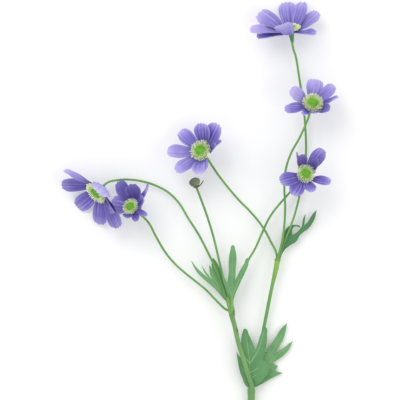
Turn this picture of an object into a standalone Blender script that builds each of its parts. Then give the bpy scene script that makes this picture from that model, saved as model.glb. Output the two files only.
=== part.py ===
"""A cosmos spray lying on a flat surface: open flowers and a bud on a branching stem with cut leaves.

Metres, +Z up. The origin is on the surface under the lower end of the main stem, and +Y runs up the spray.
Lengths in the tables below are in millimetres and angles in degrees; MM turns a length into metres.
"""

import math

import bmesh
import bpy
from mathutils import Matrix, Vector

MM = 0.001
GAP = 0.3  # clearance between neighbouring pieces
SURFACE_CLEAR = 0.35  # a petal's middle layer lies at least this high over the surface
SURFACE_BEND = 2.5  # and it starts to bend along the surface at this height
SHARP_ANGLE = 50  # edges that turn further than this stay sharp

# Stems: x, y, z and a share of the radius at each point
STEM_SIDES = 2  # bevel resolution, 8 sides
STEM_RADIUS = 3.5
FLAT_HEIGHT = STEM_RADIUS * math.cos(math.pi / 8)  # centre of an 8-sided stem that lies on one side
STEM_ROUTE = (
    (0, -12, FLAT_HEIGHT, 1.0),
    (0, 12, FLAT_HEIGHT, 1.0),
    (0.2, 40, 4.9, 1.0),
    (0.4, 58, 6.7, 1.03),
    (0.4, 65, 7.4, 1.1),
)
STEM_STRAIGHT_POINTS = 2  # the first points, between which the stem lies flat
BRANCH_LEFT_RADIUS = 2.3
BRANCH_LEFT_ROUTE = (
    (1.4, 65.6, 10.4, 1.0),
    (0.9, 69, 10.9, 1.0),
    (-2, 78, 12.9, 1.02),
    (-6.5, 93, 15.0, 1.04),
    (-12.5, 112, 15.8, 1.0),
    (-16.4, 129, 15, 1.02),
    (-18.3, 136, 14.7, 1.08),
    (-19.5, 141, 14.5, 1.18),
)
BRANCH_RIGHT_RADIUS = 1.75
BRANCH_RIGHT_ROUTE = (
    (-0.8, 65.9, 4.9, 1.0),
    (-0.5, 69, 4.9, 1.0),
    (3.5, 82, 5.0, 1.0),
    (8.6, 105, 5.3, 0.97),
    (14.6, 135, 6.6, 0.97),
    (21.1, 168, 8.5, 1.0),
    (25.3, 187, 9.6, 1.45),
    (26.9, 196, 10.1, 1.6),
)
SPUR_RADIUS = 0.8
SPUR_TIP = 0.3  # share of the radius at the tip
SPURS = (  # dry bract tips beside the left joint, from foot to tip
    ((-16.8, 139.5, 15.9), (-17.3, 148.6, 17.8)),
    ((-13.2, 120.5, 16.6), (-14.0, 127.5, 17.6)),
)

# Stalks: each sits on the flat end of a branch, beside the others
STALK_SIDES = 1  # bevel resolution, 6 sides
STALK_RADIUS = 1.1
STALK_ROOT = 0.95  # share of the radius where it leaves the branch
STALK_TOP = 1.1  # and where it meets the flower
STALK_LEAVE = 2.0  # its first stretch runs straight out of the branch
STALK_APPROACH = 5.0  # and its last stretch along the flower's axis

# Petals: one row of points at each share of the length, with that many strips across
PETAL_THICKNESS = 0.6
PETAL_ROWS = ((0.0, 2), (0.24, 2), (0.5, 4), (0.76, 6), (1.0, 6))
PETAL_ROOT = 3.0  # from the flower's axis to a petal's inner end
PETAL_FLAT = 3.4  # how far a petal runs flat under the stamens before it lifts
PETAL_LIFT_OVER = 7.0  # the length over which it lifts
PETAL_CUP_OVER = 11.0  # the length over which it cups
PETAL_STAGGER = 0.35  # every other petal sits this much higher or lower
PETAL_WIDEST = 0.7  # share of the length at which it is widest
PETAL_ROOT_WIDTH = 0.3  # share of the width at its root
PETAL_TIP_LOSS = 0.2  # share of the width lost at its tip
PETAL_TIP_ROUNDING = (0.04, 0.11)  # how the sides fall short of the tip, by the 2nd and 4th power across
PETAL_TOOTH = 0.025  # share of the length by which the two notches at the tip fall short
LEAST_BEND = 0.02  # radians

# Flower centres
HUB_RADIUS = 4.4
HUB_HALF = 1.0
HUB_SIDES = 10
CUSHION_RADIUS = 7.6
CUSHION_HEIGHT = 1.2
CUSHION_FOOT = 0.55  # share of the radius underneath, clear of the petals
FILAMENT_COUNT = 16
FILAMENT_KINDS = ((3.4, 24), (4.1, 42))  # length and lean, one kind after the other
FILAMENT_RADII = (0.55, 0.8)  # at the foot and at the tip
FILAMENT_SEAT = 0.84  # share of the cushion's radius at which they stand
FILAMENT_DEPTH = 0.6  # share of the cushion's height at which they start
BUTTON_RADIUS = 5.3
BUTTON_HEIGHT = 3.4
BUTTON_PIPS = (7, 6)  # around, and from the top to the rim
BUTTON_PIP_HEIGHT = 0.045  # share of the radius
CALYX_SIDES = 10
CALYX_PROFILE = ((2.9, 0.0), (2.7, 0.2), (2.2, 0.5), (1.9, 0.78), (1.5, 1.0))  # radius, share of the length

# Flowers: hub is where the petals meet. The flower leans towards a direction in the surface's plane, 0 is
# +X, by tilt from straight up. centre scales its stamens and button its green dome, and calyx is the length
# of the cup behind it. joint and seat say where its stalk starts, seat as the steps right and up from the
# middle of the branch's end, and route is the stalk's way.
PETAL_VALUES = ("azimuth", "reach", "width", "lift", "curl", "cup", "twist")
FLOWERS = {
    "flower_1": {
        "hub": (40, 423.6, 23),
        "lean": 97,
        "tilt": 66,
        "centre": 0.94,
        "button": 1.0,
        "calyx": 10.5,
        "joint": "right",
        "seat": (1.3, -0.75),
        "route": (
            (34.2, 215, 8.6), (40.8, 231, 8.2), (46.6, 250, 6.0), (49.4, 262, 4.6), (53.2, 277, 4.0),
            (55.2, 300, 4.6), (54.4, 330, 6.5), (51.8, 355, 8.5), (48, 380, 10.5), (45, 398, 13),
        ),
        "petals": (
            (1, 41, 19, 33, 4, 30, 0), (59, 40, 20, 31, 0, 35, -29), (98, 35, 24, 0, 0, 30, 0),
            (93, 42, 16, 15, -6, 40, -20), (159, 34, 20, 46, 10, 40, 24), (232, 30, 13, 2, 0, 50, 4),
            (297, 36, 14, 21, 12, 20, 35), (325, 37, 17, 46, 4, 35, 0),
        ),
    },
    "flower_2": {
        "hub": (61.3, 350.4, 27),
        "lean": 75,
        "tilt": 30,
        "centre": 1.03,
        "button": 1.08,
        "calyx": 6.4,
        "joint": "right",
        "seat": (0, 1.5),
        "route": (
            (32, 218, 13), (34.2, 245, 15), (33.4, 270, 14.5), (34.4, 283, 13), (39.4, 300, 12.5),
            (49.6, 319, 13), (56.6, 335, 15),
        ),
        "petals": (
            (7, 28, 18, 21, -14, 30, 0), (323, 30, 13, 31, -6, 30, 0), (288, 30, 9, 45, 0, 45, -37),
            (251, 24, 13, 54, -6, 50, 24), (202, 25, 12, 66, 0, 40, 0), (159, 21, 9, 43, -24, 60, -9),
            (122, 32, 12, 17, 0, 45, -48), (81, 28, 17, 32, -8, 40, 0),
        ),
    },
    "flower_3": {
        "hub": (53.9, 280.2, 30),
        "lean": 60,
        "tilt": 20,
        "centre": 0.92,
        "button": 0.98,
        "calyx": 6.4,
        "joint": "left",
        "seat": (1.25, -1.25),
        "route": (
            (-18.2, 156, 11.4), (-11, 174, 11.2), (-3.5, 193, 11), (4, 206, 10.2), (13, 226, 9.0),
            (19, 238, 9.0), (27, 249, 9.2), (35, 258, 9.6), (42, 266, 10.4),
        ),
        "petals": (
            (355, 33, 15, 34, 4, 30, 6), (47, 25, 12, 58, 4, 40, -9), (63, 30, 7, 49, 20, 50, 60),
            (140, 30, 16, 21, -6, 35, 0), (179, 27, 16, 16, -10, 30, 0), (224, 23, 13, 37, -8, 30, 0),
            (275, 30, 10, 41, -8, 35, 13), (338, 24, 14, 66, 6, 50, -38),
        ),
    },
    "flower_4": {
        "hub": (-49.5, 303.6, 24),
        "lean": 135,
        "tilt": 24,
        "centre": 1.03,
        "button": 1.12,
        "calyx": 6.4,
        "joint": "right",
        "seat": (-1.3, -0.75),
        "route": (
            (19.5, 214, 11.5), (11, 229, 12.6), (-0.4, 243, 13), (-12, 254.8, 12.5), (-30.2, 276.8, 10),
            (-38.6, 288.8, 8.6),
        ),
        "petals": (
            (1, 32, 15, 9, -2, 30, 0), (48, 35, 15, 23, -2, 35, 0), (92, 35, 15, 28, -4, 30, 0),
            (141, 30, 18, 32, -4, 35, 0), (226, 30, 9, 60, 0, 50, -6), (233, 32, 10, 46, 0, 40, -43),
            (275, 34, 19, 29, -2, 25, 0), (305, 31, 18, 45, -2, 30, 0),
        ),
    },
    "flower_5": {
        "hub": (-152.5, 264.5, 19.5),
        "lean": 222,
        "tilt": 64,
        "centre": 1.2,
        "button": 1.2,
        "calyx": 6.4,
        "joint": "left",
        "seat": (-1.25, 1.25),
        "route": (
            (-25.7, 160, 16.0), (-30.4, 174, 15.7), (-36.6, 189, 15), (-42.4, 201, 14), (-52.2, 220, 12.5),
            (-63, 237, 11), (-72.2, 252, 9.5), (-82, 262, 8), (-93, 268.4, 6.8), (-106, 273, 6),
            (-121, 275.4, 6.5), (-133, 275, 9),
        ),
        "petals": (
            (356, 36, 18, 38, -2, 35, 0), (49, 38, 17, 27, -2, 30, -25), (96, 44, 19, 21, 0, 30, -31),
            (109, 30, 14, 24, -8, 50, 10), (178, 38, 24, -1, 105, 35, 17), (267, 42, 7, 27, 0, 36, 100),
            (294, 40, 17, 41, 0, 30, 25),
        ),
    },
    "flower_6": {
        "hub": (-119, 247.4, 27),
        "lean": 140,
        "tilt": 32,
        "centre": 0.8,
        "button": 0.82,
        "calyx": 6.4,
        "joint": "left",
        "seat": (-1.25, -1.25),
        "route": (
            (-26.5, 146.4, 13.0), (-34.8, 154.4, 12.6), (-45, 165, 12), (-55.4, 173.6, 12),
            (-66, 182, 11), (-76.5, 191.5, 10), (-86, 203, 10), (-95.4, 219, 10.5), (-102.8, 232.6, 11.5),
        ),
        "petals": (
            (29, 24, 21, 8, 0, 20, 0), (109, 13, 12, 50, -4, 40, 0), (159, 22, 9, 37, -8, 45, -13),
            (189, 22, 7, 14, -8, 50, -24), (237, 19, 16, 44, 0, 40, -9), (257, 34, 10, 13, 54, 50, -41),
            (295, 28, 17, 56, 2, 35, 25), (334, 31, 16, 29, -4, 35, -14),
        ),
    },
}

# Bud
BUD_STEM_END = (-54.2, 267, 13.5)  # where its cup meets its stalk
BUD_AXIS = (-0.33, 0.9, 0.28)
BUD_JOINT_SEAT = (1.25, 1.25)
BUD_ROUTE = ((-22.3, 158, 16.6), (-27.2, 175, 16.8), (-32.5, 197, 16.4), (-37, 216, 15.4), (-43.6, 238, 14))
BUD_RADIUS = 5.8
BUD_TALL = 0.8  # its half height as a share of its radius
BUD_PEAK = 0.05  # its top and bottom are this much fuller
BUD_SEAM = 0.05  # depth of the seams between the folded sepals
BUD_CUP_HEIGHT = 1.6
BUD_CUP_RADII = (1.3, 3.4)
LOOSE_SEPAL_RADIUS = 0.65
LOOSE_SEPAL_AZIMUTH = 75
LOOSE_SEPAL_ROUTE = (
    (1.5, 0, 0.7, 1.0), (3.6, 0, 1.7, 1.1), (5.8, 0, 2.8, 1.0), (7.8, 0, 4.4, 1.0), (9.2, 0, 5.6, 0.7))

# Leaves: foot is where the petiole starts, level the height of the blade beside it, tilt its slope along X
# and Y in tenths, arch its rise in the middle. Each outline point is x, y and 1 for a corner, 0 for a curve,
# and the outline runs round the blade from one side of the petiole to the other.
LEAF_THICKNESS = 0.7
LEAF_GRID = 14.0  # the blade is split this finely so that it can arch
LEAF_SNAP = 0.4  # a cut that passes an outline point within this takes the point itself
LEAF_CURVE_STEPS = 2
PETIOLE_RADIUS = 0.95
PETIOLE_INTO = 9.0  # how far it runs into the blade
PETIOLE_TIP = 0.5  # share of its radius there
LEAVES = {
    "leaf_low_front": {
        "foot": (3.7, 65.9, 7.4), "level": 7.5, "tilt": (0.1, 0.2), "arch": 1.0,
        "outline": (
            (-0.8, 66.8, 1), (-4.6, 68.6, 0), (-8.6, 76.5, 0), (-11.5, 85, 0), (-13.2, 94, 0),
            (-14.6, 103, 1), (-11, 98, 0), (-8.6, 96, 1), (-9.9, 104, 0), (-9.9, 113, 0),
            (-8.6, 121.5, 0), (-5.9, 126.1, 0), (-2, 120, 0), (1.8, 111.5, 0), (4.6, 104.4, 1),
            (7, 111.5, 0), (9.8, 120.5, 0), (14.6, 127.2, 0), (16.2, 119, 0), (15, 107, 0),
            (11.9, 95, 1), (15.4, 92.5, 0), (20.4, 88, 1), (15.5, 79, 0), (10.5, 73, 0),
            (5.6, 68.4, 1),
        ),
    },
    "leaf_low_back": {
        "foot": (2.4, 65.8, 4.2), "level": 2.4, "tilt": (-0.3, 0.2), "arch": 0.4,
        "outline": (
            (4.6, 67.2, 1), (12, 71, 0), (21, 76.2, 0), (32.2, 81.6, 1), (24.3, 83.4, 1),
            (27, 88.8, 1), (21.3, 91.6, 1), (26.5, 94.6, 0), (33, 99.3, 0), (38.3, 105.3, 0),
            (42.4, 114, 1), (36, 109, 0), (28.4, 103.6, 0), (23.2, 99.4, 1), (28, 107, 0),
            (33, 117, 0), (36.4, 131.9, 1), (31, 126.6, 0), (24.8, 117.3, 0), (17.6, 106, 0),
            (12, 96.5, 0), (8.2, 86, 0), (4.4, 73, 1),
        ),
    },
    "leaf_mid_left": {
        "foot": (-20.8, 141.6, 10.9), "level": 10.9, "tilt": (-0.4, 0.0), "arch": 0.8,
        "outline": (
            (-23.6, 152, 1), (-29, 158, 0), (-36.5, 166.5, 0), (-44, 173, 0), (-51, 179.2, 0),
            (-56, 185.6, 0), (-60.2, 194.7, 1), (-55, 188.2, 0), (-48.6, 181.8, 0), (-42.6, 176.6, 1),
            (-47, 183.4, 0), (-49.5, 190.2, 1), (-46, 184.6, 0), (-38.8, 175.1, 1), (-41.2, 182, 0),
            (-41.8, 190.1, 1), (-39.8, 187.6, 0), (-38.7, 184.4, 1), (-39.4, 191, 0), (-38.2, 197.4, 1),
            (-33.9, 192.4, 0), (-30.6, 185, 0), (-27.2, 174.4, 0), (-23.6, 164, 0), (-21.4, 153, 1),
        ),
    },
    "leaf_mid_right": {
        "foot": (-19.1, 142.2, 18.0), "level": 18.4, "tilt": (0.3, 0.2), "arch": 0.4,
        "outline": (
            (-18, 153, 1), (-16.2, 161, 0), (-11.8, 170.5, 0), (-5.8, 182.5, 0), (-2.6, 191.3, 0),
            (-3, 196.9, 0), (-7.2, 190.8, 0), (-12, 182.6, 0), (-15.6, 175, 1), (-15.3, 185, 0),
            (-14.6, 195.5, 0), (-15.6, 204.6, 0), (-18.2, 209.8, 0), (-20.8, 204, 0), (-22.3, 194, 0),
            (-22.4, 183, 0), (-23.6, 172.8, 1), (-26.4, 177.4, 0), (-29.2, 183.4, 1), (-28.4, 176, 0),
            (-25.4, 167, 0), (-22, 159, 0), (-20, 153, 1),
        ),
    },
    "leaf_top": {
        "foot": (27.6, 194.6, 6.3), "level": 6.3, "tilt": (-0.4, 0.0), "arch": 0.2,
        "outline": (
            (29.8, 197.4, 1), (33.4, 204.4, 0), (38.4, 209, 0), (45.6, 213.6, 0), (48.9, 219.2, 0),
            (52, 222.2, 0), (58.6, 227.4, 0), (63.8, 236, 0), (66.1, 245.3, 1), (61.2, 239.8, 0),
            (56.6, 232.6, 0), (53.4, 229.6, 1), (54.2, 235, 0), (54.9, 241.4, 1), (52.3, 236, 0),
            (50.9, 228.4, 0), (48.4, 225, 0), (44.4, 221.4, 0), (41.7, 219.9, 1), (41.2, 224, 0),
            (42.6, 227.4, 0), (45.4, 228.5, 0), (49.8, 226.8, 1), (48.6, 229.2, 0), (45, 230.1, 0),
            (40.5, 229.6, 0), (36.2, 227.2, 0), (33, 221.5, 0), (30.6, 211, 0), (27.8, 199, 1),
        ),
    },
}

# Looks: name, colour, roughness
STEM_GREEN = ("stem_green", (0.20, 0.42, 0.12), 0.5)
LEAF_GREEN = ("leaf_green", (0.13, 0.36, 0.15), 0.6)
VIOLET = ("petal_violet", (0.25, 0.19, 0.58), 0.7)
CREAM = ("stamen_cream", (0.78, 0.83, 0.48), 0.6)
BRIGHT_GREEN = ("button_green", (0.18, 0.46, 0.04), 0.55)
SAGE = ("bud_sage", (0.30, 0.40, 0.26), 0.6)


def material(look):
    """One Principled material for each look, made once."""
    name, colour, roughness = look
    made = bpy.data.materials.get(name) or bpy.data.materials.new(name)
    made.use_nodes = True
    shader = made.node_tree.nodes["Principled BSDF"]
    shader.inputs["Base Color"].default_value = (*colour, 1)
    shader.inputs["Roughness"].default_value = roughness
    shader.inputs["Metallic"].default_value = 0
    return made


def clear_scene():
    for old in list(bpy.data.objects):
        bpy.data.objects.remove(old)


def collection(name):
    made = bpy.data.collections.new(name)
    bpy.context.scene.collection.children.link(made)
    return made


def put(name, mesh, look, parent=None):
    """A new object of the spray, in its parent's space."""
    obj = bpy.data.objects.new(name, mesh)
    SPRAY.objects.link(obj)
    obj.parent = parent
    mesh.materials.clear()
    mesh.materials.append(material(look))
    return obj


def mesh_from(bm, name):
    mesh = bpy.data.meshes.new(name)
    bm.to_mesh(mesh)
    bm.free()
    return mesh


def evaluated_mesh(obj, name):
    """The object's mesh with its modifiers applied, with a curve's loose caps welded on."""
    graph = bpy.context.evaluated_depsgraph_get()
    mesh = bpy.data.meshes.new_from_object(obj.evaluated_get(graph))
    mesh.name = name
    bm = bmesh.new()
    bm.from_mesh(mesh)
    bmesh.ops.remove_doubles(bm, verts=bm.verts, dist=0.01 * MM)
    bm.to_mesh(mesh)
    bm.free()
    return mesh


def shade(mesh):
    mesh.shade_smooth()
    mesh.set_sharp_from_angle(angle=math.radians(SHARP_ANGLE))


def united(first, others):
    """Joins the other objects to the first one with a Boolean union into triangles, and removes them."""
    tools = collection("joined")
    for other in others:
        for home in list(other.users_collection):
            home.objects.unlink(other)
        tools.objects.link(other)
    join = first.modifiers.new("Join", "BOOLEAN")
    join.operation = "UNION"
    join.operand_type = "COLLECTION"
    join.collection = tools
    first.modifiers.new("Triangles", "TRIANGULATE")
    bpy.context.view_layer.update()
    mesh = evaluated_mesh(first, first.name)
    first.modifiers.clear()
    look = first.data.materials[0]
    first.data = mesh
    mesh.materials.clear()
    mesh.materials.append(look)
    for other in others:
        bpy.data.objects.remove(other)
    bpy.data.collections.remove(tools)
    return first


def bezier(name, points, dimensions):
    """A curve object through the points, each x, y, z and whether its handles run straight."""
    curve = bpy.data.curves.new(name, "CURVE")
    curve.dimensions = dimensions
    spline = curve.splines.new("BEZIER")
    spline.bezier_points.add(len(points) - 1)
    for knot, (x, y, z, straight) in zip(spline.bezier_points, points):
        knot.co = Vector((x, y, z)) * MM
        knot.handle_left_type = knot.handle_right_type = "VECTOR" if straight else "AUTO"
    guide = bpy.data.objects.new(name + "_guide", curve)
    SPRAY.objects.link(guide)
    return guide, curve, spline


def mesh_of_guide(guide, name):
    """Turns a curve object into a mesh and removes it."""
    bpy.context.view_layer.update()
    mesh = evaluated_mesh(guide, name)
    bpy.data.objects.remove(guide)
    return mesh


def tube(name, route, radius, sides, look, turn=0.0, straight=0):
    """A round stem through the route's points, each x, y, z and a share of the radius, as a closed mesh."""
    points = [(x, y, z, n < straight) for n, (x, y, z, _) in enumerate(route)]
    guide, curve, spline = bezier(name, points, "3D")
    curve.resolution_u = 2
    curve.bevel_depth = radius * MM
    curve.bevel_resolution = sides
    curve.use_fill_caps = True
    for knot, (_, _, _, share) in zip(spline.bezier_points, route):
        knot.radius = share
        knot.tilt = turn
    mesh = mesh_of_guide(guide, name)
    shade(mesh)
    return put(name, mesh, look)


def rod(name, length, radii, sides, look, parent=None):
    """A straight tapered rod that stands on its own origin."""
    bm = bmesh.new()
    bmesh.ops.create_cone(bm, cap_ends=True, segments=sides, radius1=radii[0] * MM, radius2=radii[1] * MM,
                          depth=length * MM, matrix=Matrix.Translation((0, 0, length / 2 * MM)))
    return put(name, mesh_from(bm, name), look, parent)


def spur(name, foot, tip):
    """A pointed bract tip from its foot to its tip."""
    foot, tip = Vector(foot), Vector(tip)
    way = tip - foot
    made = rod(name, way.length, (SPUR_RADIUS, SPUR_RADIUS * SPUR_TIP), 6, STEM_GREEN)
    made.matrix_world = Matrix.Translation(foot * MM) @ way.to_track_quat("Z", "Y").to_matrix().to_4x4()
    return made


def flower_frame(values):
    """The flower's own frame: Z along its axis, X the way it leans, origin at its hub."""
    lean, tilt = math.radians(values["lean"]), math.radians(values["tilt"])
    towards = Vector((math.cos(lean), math.sin(lean), 0))
    up = Vector((0, 0, 1))
    axis = towards * math.sin(tilt) + up * math.cos(tilt)
    x = towards * math.cos(tilt) - up * math.sin(tilt)
    turn = Matrix((x, axis.cross(x), axis)).transposed()
    return Matrix.Translation(Vector(values["hub"]) * MM) @ turn.to_4x4()


def smooth(value):
    value = min(1.0, max(0.0, value))
    return value * value * (3 - 2 * value)


def petal_rise(along, length, shape):
    """How steeply the petal climbs, in radians: flat under the stamens, then lifted, then curled."""
    lifted = smooth((along * length - PETAL_FLAT) / PETAL_LIFT_OVER)
    return math.radians(shape["lift"] * lifted + shape["curl"] * along**2)


def petal_middle(along, length, shape, steps=10):
    """A point of the petal's midline: out from the flower's axis, and up along it."""
    out, up, step = PETAL_ROOT, 0.0, along / steps
    for k in range(steps):
        rise = petal_rise((k + 0.5) * step, length, shape)
        out += math.cos(rise) * step * length
        up += math.sin(rise) * step * length
    return out, up


def petal_half_width(along, width):
    """Narrow at the root, widest at two thirds, still broad at the tip."""
    if along < PETAL_WIDEST:
        rest = math.sin(math.pi / 2 * along / PETAL_WIDEST) ** 1.2
        share = PETAL_ROOT_WIDTH + (1 - PETAL_ROOT_WIDTH) * rest
    else:
        share = 1 - PETAL_TIP_LOSS * ((along - PETAL_WIDEST) / (1 - PETAL_WIDEST)) ** 2
    return width / 2 * share


def petal_point(across, along, shape):
    """A point of the petal in millimetres at azimuth 0. across runs from -1 to 1 and along from 0 to 1."""
    length = shape["reach"] - PETAL_ROOT
    square, fourth = PETAL_TIP_ROUNDING
    rounding = (square * across**2 + fourth * across**4) * along**3
    teeth = PETAL_TOOTH * math.sin(1.5 * math.pi * across) ** 2 * along**8
    share = along * (1 - rounding - teeth)
    out, up = petal_middle(share, length, shape)
    rise = petal_rise(share, length, shape)
    cupped = smooth((share * length - PETAL_FLAT / 2) / PETAL_CUP_OVER)
    bend = LEAST_BEND + math.radians(shape["cup"]) * cupped
    half = petal_half_width(along, shape["width"])
    side = half * math.sin(bend * across) / bend
    depth = half * (1 - math.cos(bend * across)) / bend
    turn = Matrix.Rotation(math.radians(shape["twist"]) * smooth(along), 2)
    side, depth = turn @ Vector((side, depth))
    return Vector((out - math.sin(rise) * depth, side, up + math.cos(rise) * depth))


def above_surface(point, frame):
    """Bends what would dip under the surface along it, as a petal that touches the table lies."""
    lowest, start = SURFACE_CLEAR * MM, SURFACE_BEND * MM
    world = frame @ point
    if world.z < start:
        world.z = lowest + (start - lowest) * math.exp((world.z - start) / (start - lowest))
    return frame.inverted() @ world


def strip(bm, inner, outer):
    """Joins two rows of points with triangles, in step along both, and across the shorter way on a tie."""
    a = b = 0
    while a < len(inner) - 1 or b < len(outer) - 1:
        ahead = (a + 1) * (len(outer) - 1) - (b + 1) * (len(inner) - 1)
        if ahead == 0:
            step_inner = (inner[a + 1].co - outer[b].co).length <= (inner[a].co - outer[b + 1].co).length
        else:
            step_inner = ahead < 0
        if step_inner:
            bm.faces.new((inner[a], outer[b], inner[a + 1]))
            a += 1
        else:
            bm.faces.new((inner[a], outer[b], outer[b + 1]))
            b += 1


def petal(name, number, values, frame, parent):
    """One petal as a thin blade, in rows from its narrow root to its toothed tip."""
    shape = dict(zip(PETAL_VALUES, values))
    turn = Matrix.Rotation(math.radians(shape["azimuth"]), 4, "Z")
    level = Vector((0, 0, PETAL_STAGGER if number % 2 else -PETAL_STAGGER))
    bm = bmesh.new()
    rows = []
    for along, strips in PETAL_ROWS:
        row = []
        for k in range(strips + 1):
            point = turn @ ((petal_point(2 * k / strips - 1, along, shape) + level) * MM)
            row.append(bm.verts.new(above_surface(point, frame)))
        rows.append(row)
    for inner, outer in zip(rows, rows[1:]):
        strip(bm, inner, outer)
    blade = put(f"{name}_petal_{number}", mesh_from(bm, name), VIOLET, parent)
    thicken(blade, PETAL_THICKNESS)
    return blade


def thicken(blade, thickness):
    shell = blade.modifiers.new("Thickness", "SOLIDIFY")
    shell.thickness = thickness * MM
    shell.offset = 0


def petals(name, values, frame, parent):
    """The flower's petals, joined at a small hub."""
    bm = bmesh.new()
    bmesh.ops.create_cone(bm, cap_ends=True, segments=HUB_SIDES, radius1=HUB_RADIUS * MM,
                          radius2=HUB_RADIUS * MM, depth=2 * HUB_HALF * MM)
    hub = put(f"{name}_petals", mesh_from(bm, name), VIOLET, parent)
    blades = [petal(name, n, one, frame, parent) for n, one in enumerate(values["petals"])]
    shade(united(hub, blades).data)


def stamens(name, scale, parent):
    """A cushion edged with short filaments that lean outwards."""
    low = HUB_HALF + GAP
    radius = CUSHION_RADIUS * scale
    radii = (radius * CUSHION_FOOT, radius)
    cushion = rod(f"{name}_stamens", CUSHION_HEIGHT, radii, FILAMENT_COUNT, CREAM, parent)
    cushion.data.transform(Matrix.Translation((0, 0, low * MM)))
    seat = Matrix.Translation(Vector((radius * FILAMENT_SEAT, 0, low + FILAMENT_DEPTH * CUSHION_HEIGHT)) * MM)
    filaments = []
    for n in range(FILAMENT_COUNT):
        length, lean = FILAMENT_KINDS[n % len(FILAMENT_KINDS)]
        one = rod(f"{name}_filament_{n}", length, FILAMENT_RADII, 3, CREAM, parent)
        turn = Matrix.Rotation(2 * math.pi * (n + 0.5) / FILAMENT_COUNT, 4, "Z")
        one.matrix_local = turn @ seat @ Matrix.Rotation(math.radians(lean), 4, "Y")
        filaments.append(one)
    united(cushion, filaments)


def button(name, scale, parent):
    """The green dome in the middle, with its pips raised by a formula."""
    low = HUB_HALF + GAP + CUSHION_HEIGHT + GAP
    around, rings = BUTTON_PIPS
    bm = bmesh.new()
    bmesh.ops.create_uvsphere(bm, u_segments=2 * around, v_segments=8, radius=1)
    bmesh.ops.bisect_plane(bm, geom=bm.verts[:] + bm.edges[:] + bm.faces[:], plane_co=(0, 0, 0.001),
                           plane_no=(0, 0, 1), clear_inner=True)
    bmesh.ops.edgeloop_fill(bm, edges=[edge for edge in bm.edges if edge.is_boundary])
    for vertex in bm.verts:
        x, y, z = vertex.co
        above_rim = z > 0.1
        wave = math.cos(around * math.atan2(y, x)) * math.sin(rings * math.acos(min(1, max(-1, z))))
        pips = 1 + BUTTON_PIP_HEIGHT * wave * above_rim
        wide, high = BUTTON_RADIUS * scale * pips, BUTTON_HEIGHT * pips
        vertex.co = Vector((x * wide, y * wide, z * high + low)) * MM
    dome = put(f"{name}_button", mesh_from(bm, name), BRIGHT_GREEN, parent)
    dome.data.shade_smooth()


def calyx(name, length, parent):
    """The green cup behind the petals, turned from its profile."""
    top = -(HUB_HALF + GAP)
    profile = [(0, 0), *CALYX_PROFILE, (0, 1)]
    bm = bmesh.new()
    corners = [bm.verts.new((radius * MM, 0, (top - share * length) * MM)) for radius, share in profile]
    for above, below in zip(corners, corners[1:]):
        bm.edges.new((above, below))
    cup = put(f"{name}_calyx", mesh_from(bm, name), STEM_GREEN, parent)
    turn = cup.modifiers.new("Turn", "SCREW")
    turn.steps = turn.render_steps = CALYX_SIDES
    turn.use_merge_vertices = True
    turn.merge_threshold = 0.00002


def branch_end(route):
    """The flat end of a branch: its centre, and its right, up and outward directions."""
    end, before = Vector(route[-1][:3]), Vector(route[-2][:3])
    out = (end - before).normalized()
    up = (Vector((0, 0, 1)) - out * out.z).normalized()
    return end, out.cross(up), up, out


def stalk(name, joint, seat, route, end, axis):
    """A flower's stalk from its seat on a branch, through its route, to the end behind the flower."""
    centre, right, up, out = joint
    root = centre + right * seat[0] + up * seat[1] + out * GAP
    start = root + out * STALK_LEAVE
    last = end - axis * STALK_APPROACH
    way = [(*root, STALK_ROOT), (*start, STALK_ROOT)]
    way += [(*point, 1.0) for point in route]
    way += [(*last, 1.0), (*end, STALK_TOP)]
    tube(name, way, STALK_RADIUS, STALK_SIDES, STEM_GREEN)


def pose(name, matrix):
    """An empty that places a flower's pieces."""
    empty = bpy.data.objects.new(name, None)
    SPRAY.objects.link(empty)
    empty.matrix_world = matrix
    bpy.context.view_layer.update()
    return empty


def flower(name, values, joints):
    """An open flower with its calyx and its stalk."""
    frame = flower_frame(values)
    place = pose(name, frame)
    petals(name, values, frame, place)
    stamens(name, values["centre"], place)
    button(name, values["button"], place)
    calyx(name, values["calyx"], place)
    axis = frame.to_3x3() @ Vector((0, 0, 1))
    end = Vector(values["hub"]) - axis * (HUB_HALF + GAP + values["calyx"] + GAP)
    stalk(f"{name}_stalk", joints[values["joint"]], values["seat"], values["route"], end, axis)


def bud_calyx(place):
    """The bud's small cup with its one loose sepal."""
    cup = rod("bud_calyx", BUD_CUP_HEIGHT, BUD_CUP_RADII, 10, SAGE, place)
    sepal = tube("bud_sepal", LOOSE_SEPAL_ROUTE, LOOSE_SEPAL_RADIUS, 0, SAGE)
    sepal.parent = place
    sepal.matrix_local = Matrix.Rotation(math.radians(LOOSE_SEPAL_AZIMUTH), 4, "Z")
    united(cup, [sepal])


def bud_body(place):
    """A ball of five folded sepals, with the seams between them pressed in by a formula."""
    bm = bmesh.new()
    bmesh.ops.create_uvsphere(bm, u_segments=15, v_segments=9, radius=1)
    for vertex in bm.verts:
        x, y, z = vertex.co
        wave = abs(math.sin(2.5 * math.atan2(y, x) + 1.2 * z))
        seams = 1 - BUD_SEAM * wave * (1 - z * z)
        vertex.co = Vector((x * seams, y * seams, z * BUD_TALL + BUD_PEAK * z * z)) * BUD_RADIUS * MM
    shift = (BUD_CUP_HEIGHT + GAP + BUD_TALL * BUD_RADIUS) * MM
    bmesh.ops.translate(bm, verts=bm.verts, vec=(0, 0, shift))
    ball = put("bud_body", mesh_from(bm, "bud_body"), SAGE, place)
    ball.data.shade_smooth()


def bud(joint):
    """The closed bud on its own stalk."""
    axis = Vector(BUD_AXIS).normalized()
    end = Vector(BUD_STEM_END)
    turn = axis.to_track_quat("Z", "X").to_matrix().to_4x4()
    place = pose("bud", Matrix.Translation(end * MM) @ turn)
    bud_calyx(place)
    bud_body(place)
    stalk("bud_stalk", joint, BUD_JOINT_SEAT, BUD_ROUTE, end - axis * GAP, axis)


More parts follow.
